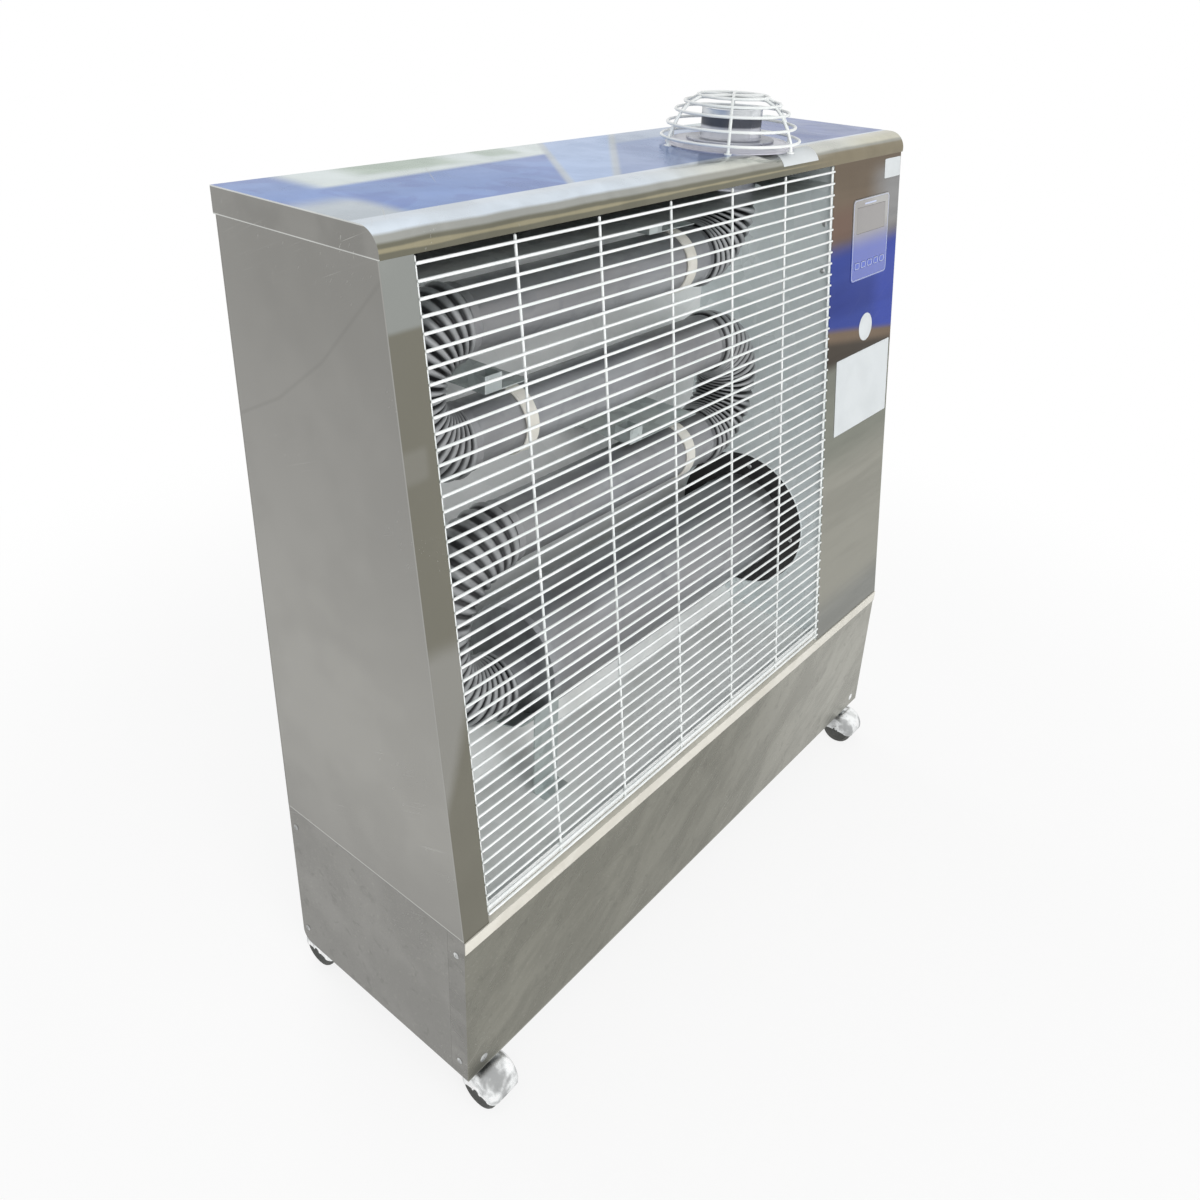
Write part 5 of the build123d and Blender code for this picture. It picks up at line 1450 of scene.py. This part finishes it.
@dataclass
class FlueTop:
    """Spigot, collar dish and wire cage on the lid, whose rings are given as radius and level over it."""

    x: float = 0.146
    y: float = PATH_Y
    lid: float = 0.986
    wire: float = 0.0018
    rings: tuple = ((0.083, 0.009), (0.0765, 0.024), (0.0675, 0.039), (0.057, 0.0485), (0.042, 0.056))
    ribs: int = 6
    rib_turn: float = 32.0
    leg_foot: float = 0.0035
    leg_bends: tuple = (0.02, 0.05, 0.05, 0.04, 0.03)
    pipe: float = 0.036
    top: float = 0.044
    foot: float = -0.056

    def cage(self) -> Surface:
        """Rings and three hoops of round wire, with a screwed pad under each leg.

        Returns:
            The joined wires.
        """
        turn = around(96)
        centre = np.array([self.x, self.y, self.lid])
        shapes = []
        for radius, level in self.rings:
            path = np.stack([radius * np.cos(turn), radius * np.sin(turn), np.full_like(turn, level)], 1)
            shapes.append(rod(centre + path, (0, 0, 1), self.wire, 10, True))
        crown = self.rings[-1][1]
        leg = np.array([(self.rings[0][0], self.leg_foot), *self.rings, (0.0, crown)])
        line = rounded(leg, self.leg_bends, 5)
        hoop = np.vstack([line, (line * [-1, 1])[-2::-1]])
        angles = np.radians(self.rib_turn + np.arange(self.ribs) * 360 / self.ribs)
        spokes = np.stack([np.cos(angles), np.sin(angles), 0 * angles], 1)
        for out in spokes[: self.ribs // 2]:
            path = centre + hoop[:, :1] * out + hoop[:, 1:] * np.array([0, 0, 1.0])
            shapes.append(rod(path, (out[1], -out[0], 0), self.wire, 10))
        pad = [(POLE, 0.0), (0.0044, 0.0), (0.0045, 0.0008), (0.0040, 0.0015)]
        pad += [(0.0022, 0.0016), (0.0021, 0.0040), (POLE, 0.0045)]
        for spot in centre + self.rings[0][0] * spokes:
            shapes.append(lathe(pad, tuple(spot), (0, 0, 1), 20))
        return join(*shapes)

    def spigot(self) -> Surface:
        """Pipe with a rolled lip at its mouth and a flange ring over the collar."""
        r, low, top = self.pipe, self.foot, self.top
        ring = [(r, low), (r, 0.006), (0.0520, 0.006), (0.0525, 0.0064), (0.0525, 0.0082)]
        ring += [(0.0516, 0.009), (0.0385, 0.0092), (0.0366, 0.011), (r, 0.014)]
        lip = [(r, top - 0.003), (r + 0.0004, top - 0.0012), (r - 0.0002, top), (r - 0.001, top - 0.0006)]
        inner = [(r - 0.0012, top - 0.003), (r - 0.0012, low)]
        return lathe(ring + lip + inner, (self.x, self.y, self.lid), (0, 0, 1), 72, closed=True)

    def collar(self) -> Surface:
        """Pressed dish: flat rim, sloped shoulder and flat crown."""
        rim = [(0.0363, 0.0), (0.078, 0.0), (0.078, 0.0011), (0.0774, 0.0014), (0.0735, 0.0020)]
        crown = [(0.0712, 0.0048), (0.0695, 0.0058), (0.066, 0.006), (0.0363, 0.006)]
        return lathe(rim + crown, (self.x, self.y, self.lid), (0, 0, 1), 96, closed=True)

    def build(self) -> None:
        """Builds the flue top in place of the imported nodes."""
        make_piece("flue_cage", self.cage(), SLOT_OF["flue_guard"], replaces=("flue_guard",))
        pipe_slot, dish_slot = SLOT_OF["flue_spigot"], SLOT_OF["flue_collar"]
        make_piece("flue_pipe", self.spigot(), pipe_slot, replaces=("flue_spigot",), finish="pipe_steel")
        make_piece("flue_dish", self.collar(), dish_slot, replaces=("flue_collar",), finish="dish_zinc")


@dataclass
class Casters:
    """Four swivel casters: plated hood with a web and neck, and a pair of crowned wheels.

    The skirt is the angle in degrees that the hood reaches below the hub. The saddle is R and the lowest
    rise of the neck's foot.
    """

    x: float = 0.424
    y: float = 0.127
    trail: float = 0.018
    hub: float = 0.025
    top: float = 0.0572
    neck: float = 0.009
    bore: float = 0.0041
    axle: float = 0.003
    web: float = 0.0046
    skirt: float = 6.35
    socket: float = 0.0102
    chamfer: float = 0.001
    least_rise: float = 0.004
    saddle: tuple = (0.0265, 0.0142)

    def hood(self, x: float, hub_y: float, neck_y: float) -> Surface:
        """Hood over both wheels: a closed section swept over the hub, with web, axle barrel and neck."""
        half = [(0.0233, 0.0), (0.0233, 0.0065), (0.0225, 0.0072), (0.0225, 0.0155), (0.0231, 0.0165)]
        half += [(0.0231, 0.0190), (0.0222, 0.0216), (0.0204, 0.0244), (0.0178, 0.0264), (0.014, 0.0271)]
        inner = [(0.0166, 0.0256), (0.0218, 0.0196), (0.0218, 0.0)]
        outer, inside = ([(s, max(r, self.least_rise)) for s, r in line] for line in (half, inner))
        section = outer + [(-s, r) for s, r in outer[::-1]] + [(-s, r) for s, r in inside[::-1]] + inside
        centre, wide = (x, hub_y, self.hub), self.web
        sweep = (centre, -self.skirt, 180 + self.skirt, 44)
        shell = swept_arc(section, *sweep)
        web = swept_arc([(-wide, 0.003), (wide, 0.003), (wide, 0.026), (-wide, 0.026)], *sweep)
        tube = [(self.axle, -wide), (0.005, -wide), (0.005, wide), (self.axle, wide)]
        barrel = lathe(tube, centre, (1, 0, 0), 24, closed=True)
        end = [(0.0029, 0.0200), (0.0024, 0.0206), (POLE, 0.0206)]
        axle = lathe([(r, -a) for r, a in end[::-1]] + end, centre, (1, 0, 0), 20)
        return join(shell, web, barrel, axle, self.neck_boss(x, hub_y, neck_y))

    def neck_boss(self, x: float, hub_y: float, neck_y: float) -> Surface:
        """The boss that the kingpin turns in, whose foot follows the hood.

        Its foot lies at the hub's level plus the root of R^2 - d^2, with d the distance along Y from the
        hub and R a little under the hood's outer radius, and never under the saddle's lower value.
        """
        turn = around(36)
        rings = []
        floor, (under, least) = self.top - self.socket, self.saddle
        neck, bore, top, chamfer = self.neck, self.bore, self.top, self.chamfer
        profile = [(POLE, None), (neck, None), (neck, top - chamfer), (neck - chamfer, top)]
        profile += [(bore, top), (bore, floor), (POLE, floor)]
        for radius, level in profile:
            px, py = x + radius * np.cos(turn), neck_y + radius * np.sin(turn)
            low = self.hub + np.sqrt(np.maximum(under**2 - (py - hub_y) ** 2, least**2))
            rings.append(np.stack([px, py, low if level is None else np.full_like(px, level)], -1))
        return grid(np.stack(rings), wrap_columns=True)

    def wheels(self, x: float, hub_y: float) -> Surface:
        """Two wheels and their axle: a crowned tread with two grooves and a dished core each."""
        tread = [(0.0185, 0.0052), (0.0242, 0.0052), (0.0250, 0.0062), (0.0250, 0.0078), (0.0244, 0.0082)]
        tread += [(0.0244, 0.0090), (0.0250, 0.0094), (0.0250, 0.0118), (0.0244, 0.0122), (0.0244, 0.0130)]
        tread += [(0.0250, 0.0134), (0.0250, 0.0160), (0.0246, 0.0180), (0.0232, 0.0200), (0.0206, 0.0211)]
        core = [(0.0185, 0.0205), (0.0160, 0.0192), (0.0090, 0.0188), (0.0065, 0.0206), (0.0031, 0.0208)]
        profile = tread + core + [(0.0031, 0.0052)]
        sides = ([(r, s * a) for r, a in profile] for s in (-1, 1))
        return join(*(lathe(side, (x, hub_y, self.hub), (1, 0, 0), 48, closed=True) for side in sides))

    def build(self) -> None:
        """Builds every caster in place of its packed hood and wheels."""
        soften("caster_plates", bevel=THICK_EDGE)
        for i in range(4):
            side, rear = (-1, 1)[i % 2], (-1, 1)[i // 2]
            x, y = side * self.x, rear * self.y
            hub_y = y + rear * self.trail
            name = f"caster_{i + 1}"
            hood, wheels = self.hood(x, hub_y, y), self.wheels(x, hub_y)
            make_piece(f"{name}_hood_dressed", hood, Slot.PLATED, name, (f"{name}_hood",), sharp=0.5)
            pair = f"wheel_pair_{i + 1}"
            make_piece(f"{name}_wheels_dressed", wheels, Slot.TREAD, pair, (f"{name}_wheels",))


@dataclass
class FillerCap:
    """Ribbed filler cap behind the tank's neck."""

    x: float = 0.318
    z: float = 0.236
    ribs: int = 30
    depth: float = 0.0012

    def build(self) -> None:
        """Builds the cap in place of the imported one."""
        inside = [(POLE, 0.1626), (0.022, 0.1626), (0.022, 0.1505)]
        outside = [(0.027, 0.1505), (0.028, 0.1515), (0.028, 0.162), (0.027, 0.1645), (0.025, 0.1655)]
        crown = [(0.016, 0.1655), (0.015, 0.1648), (0.006, 0.1648), (POLE, 0.1648)]
        turned = {"centre": (self.x, 0, self.z), "axis": (0, 1, 0), "sides": 120}
        bore, top = lathe(inside, **turned), lathe(outside[-1:] + crown, **turned)
        rim = lathe(outside, **turned, waves=self.ribs, depth=self.depth)
        make_piece("ribbed_cap", join(bore, rim, top), Slot.PLASTIC, "filler_cap", ("fuel_cap",), sharp=0.8)


@dataclass
class Stage:
    """Pale floor, soft lights, white surroundings and the camera of the photograph.

    The floor is plain white beyond the second distance of its fade, and within the first its share of white
    is floor_near. Lamps are given as name, place and power in watts.
    """

    eye: tuple = (-0.9667, -0.7034, 1.1648)
    yaw: float = 0.9086
    pitch: float = -0.4566
    roll: float = 0.0468
    lens: float = 31.28
    sensor: float = 36.0
    nearest: float = 0.01
    shift: tuple = (-0.0094, -0.0943)
    around: float = 0.5
    floor_near: float = 0.84
    floor_fade: tuple = (0.75, 1.7)
    reach: float = 12.0
    lamps: tuple = (
        ("key", (-1.8, -2.6, 2.6), 30.0),
        ("fill", (-0.6, -2.9, 1.5), 42.0),
        ("back", (0.4, 2.6, 2.6), 30.0),
    )
    lamp_size: float = 2.2
    lamp_aim: tuple = (0, 0, 0.5)
    floor_tone: tuple = (0.9, 0.9, 0.9, 1.0)
    floor_rough: float = 0.8

    def camera(self) -> None:
        """Aims the camera by yaw, pitch and roll, as the photograph was taken."""
        data = bpy.data.cameras.new("camera")
        data.sensor_width = self.sensor
        data.lens = self.lens
        data.shift_x, data.shift_y = self.shift
        data.clip_start = self.nearest
        flat = np.cos(self.pitch)
        forward = np.array([np.sin(self.yaw) * flat, np.cos(self.yaw) * flat, np.sin(self.pitch)])
        right = np.array([np.cos(self.yaw), -np.sin(self.yaw), 0.0])
        up = np.cross(right, forward)
        matrix = np.eye(4)
        matrix[:3, 0] = np.cos(self.roll) * right + np.sin(self.roll) * up
        matrix[:3, 1] = -np.sin(self.roll) * right + np.cos(self.roll) * up
        matrix[:3, 2], matrix[:3, 3] = -forward, self.eye
        camera = add_object("camera", data)
        camera.matrix_world = Matrix(matrix.tolist())
        bpy.context.scene.camera = camera

    def seen(self, graph: Graph) -> Socket:
        """1 for rays from the camera, from gloss and through glass, 0 for the rest."""
        path = graph.add("ShaderNodeLightPath")
        both = graph.math("MAXIMUM", path.outputs["Is Camera Ray"], path.outputs["Is Glossy Ray"])
        return graph.math("MAXIMUM", both, path.outputs["Is Transmission Ray"])

    def world(self) -> None:
        """White surroundings for what looks at them, and a soft even light for the rest."""
        world = bpy.data.worlds.new("surroundings")
        world.use_nodes = True
        bpy.context.scene.world = world
        graph = Graph(world.node_tree)
        world.node_tree.nodes.clear()
        output = graph.add("ShaderNodeOutputWorld")
        strength = graph.span(self.seen(graph), 0.0, 1.0, self.around, 1.0)
        light = graph.add("ShaderNodeBackground", {"Color": (1, 1, 1), "Strength": strength})
        graph.feed(output.inputs[0], light.outputs[0])

    def floor(self) -> None:
        """A wide floor that is nearly white where it is seen, keeps a soft shadow, and fades to white.

        The share of plain white rises with the distance from the heater's foot, so no horizon shows.
        """
        mesh = bpy.data.meshes.new("floor")
        side = self.reach
        corners = [(-side, -side, 0), (side, -side, 0), (side, side, 0), (-side, side, 0)]
        mesh.from_pydata(corners, [], [(0, 1, 2, 3)])
        values = {"Metallic": 0.0, "Roughness": self.floor_rough, "Base Color": self.floor_tone}
        material, graph, shader = new_material("pale_floor", values)
        away = graph.vector("LENGTH", {0: graph.place()})
        share = graph.times(graph.span(away, *self.floor_fade, self.floor_near, 1.0), self.seen(graph))
        white = graph.add("ShaderNodeEmission", {"Color": (1, 1, 1), "Strength": 1.0})
        mixed = graph.add("ShaderNodeMixShader", {0: share, 1: shader.outputs[0], 2: white.outputs[0]})
        graph.feed(material.node_tree.nodes["Material Output"].inputs[0], mixed.outputs[0])
        mesh.materials.append(material)
        floor = add_object("floor", mesh)

    def lamp(self, name: str, place: tuple, power: float) -> None:
        """A wide area lamp aimed at the middle of the cabinet, which gloss doesn't show.

        Args:
            name: Name of the lamp.
            place: Where it stands.
            power: Power in watts.
        """
        data = bpy.data.lights.new(name, "AREA")
        data.shape = "SQUARE"
        data.size = self.lamp_size
        data.energy = power
        lamp = add_object(name, data)
        lamp.location = place
        away = Vector(self.lamp_aim) - Vector(place)
        lamp.rotation_euler = away.to_track_quat("-Z", "Y").to_euler()
        lamp.visible_glossy = False

    def build(self) -> None:
        """Sets up everything round the heater."""
        bpy.context.scene.view_settings.view_transform = "Standard"
        self.world()
        self.floor()
        for lamp in self.lamps:
            self.lamp(*lamp)
        self.camera()


def main() -> None:
    """Builds every sub-assembly in order."""
    logging.basicConfig(level=logging.INFO, format="%(name)s: %(message)s")
    dress_packed_nodes()
    for kind in (Cabinet, Display, Fasteners, Grille, BurnerPath, FlueTop, Casters, FillerCap, Stage):
        kind().build()
        LOG.info("built %s", kind.__name__)
    bpy.context.view_layer.update()


if __name__ == "__main__":
    main()
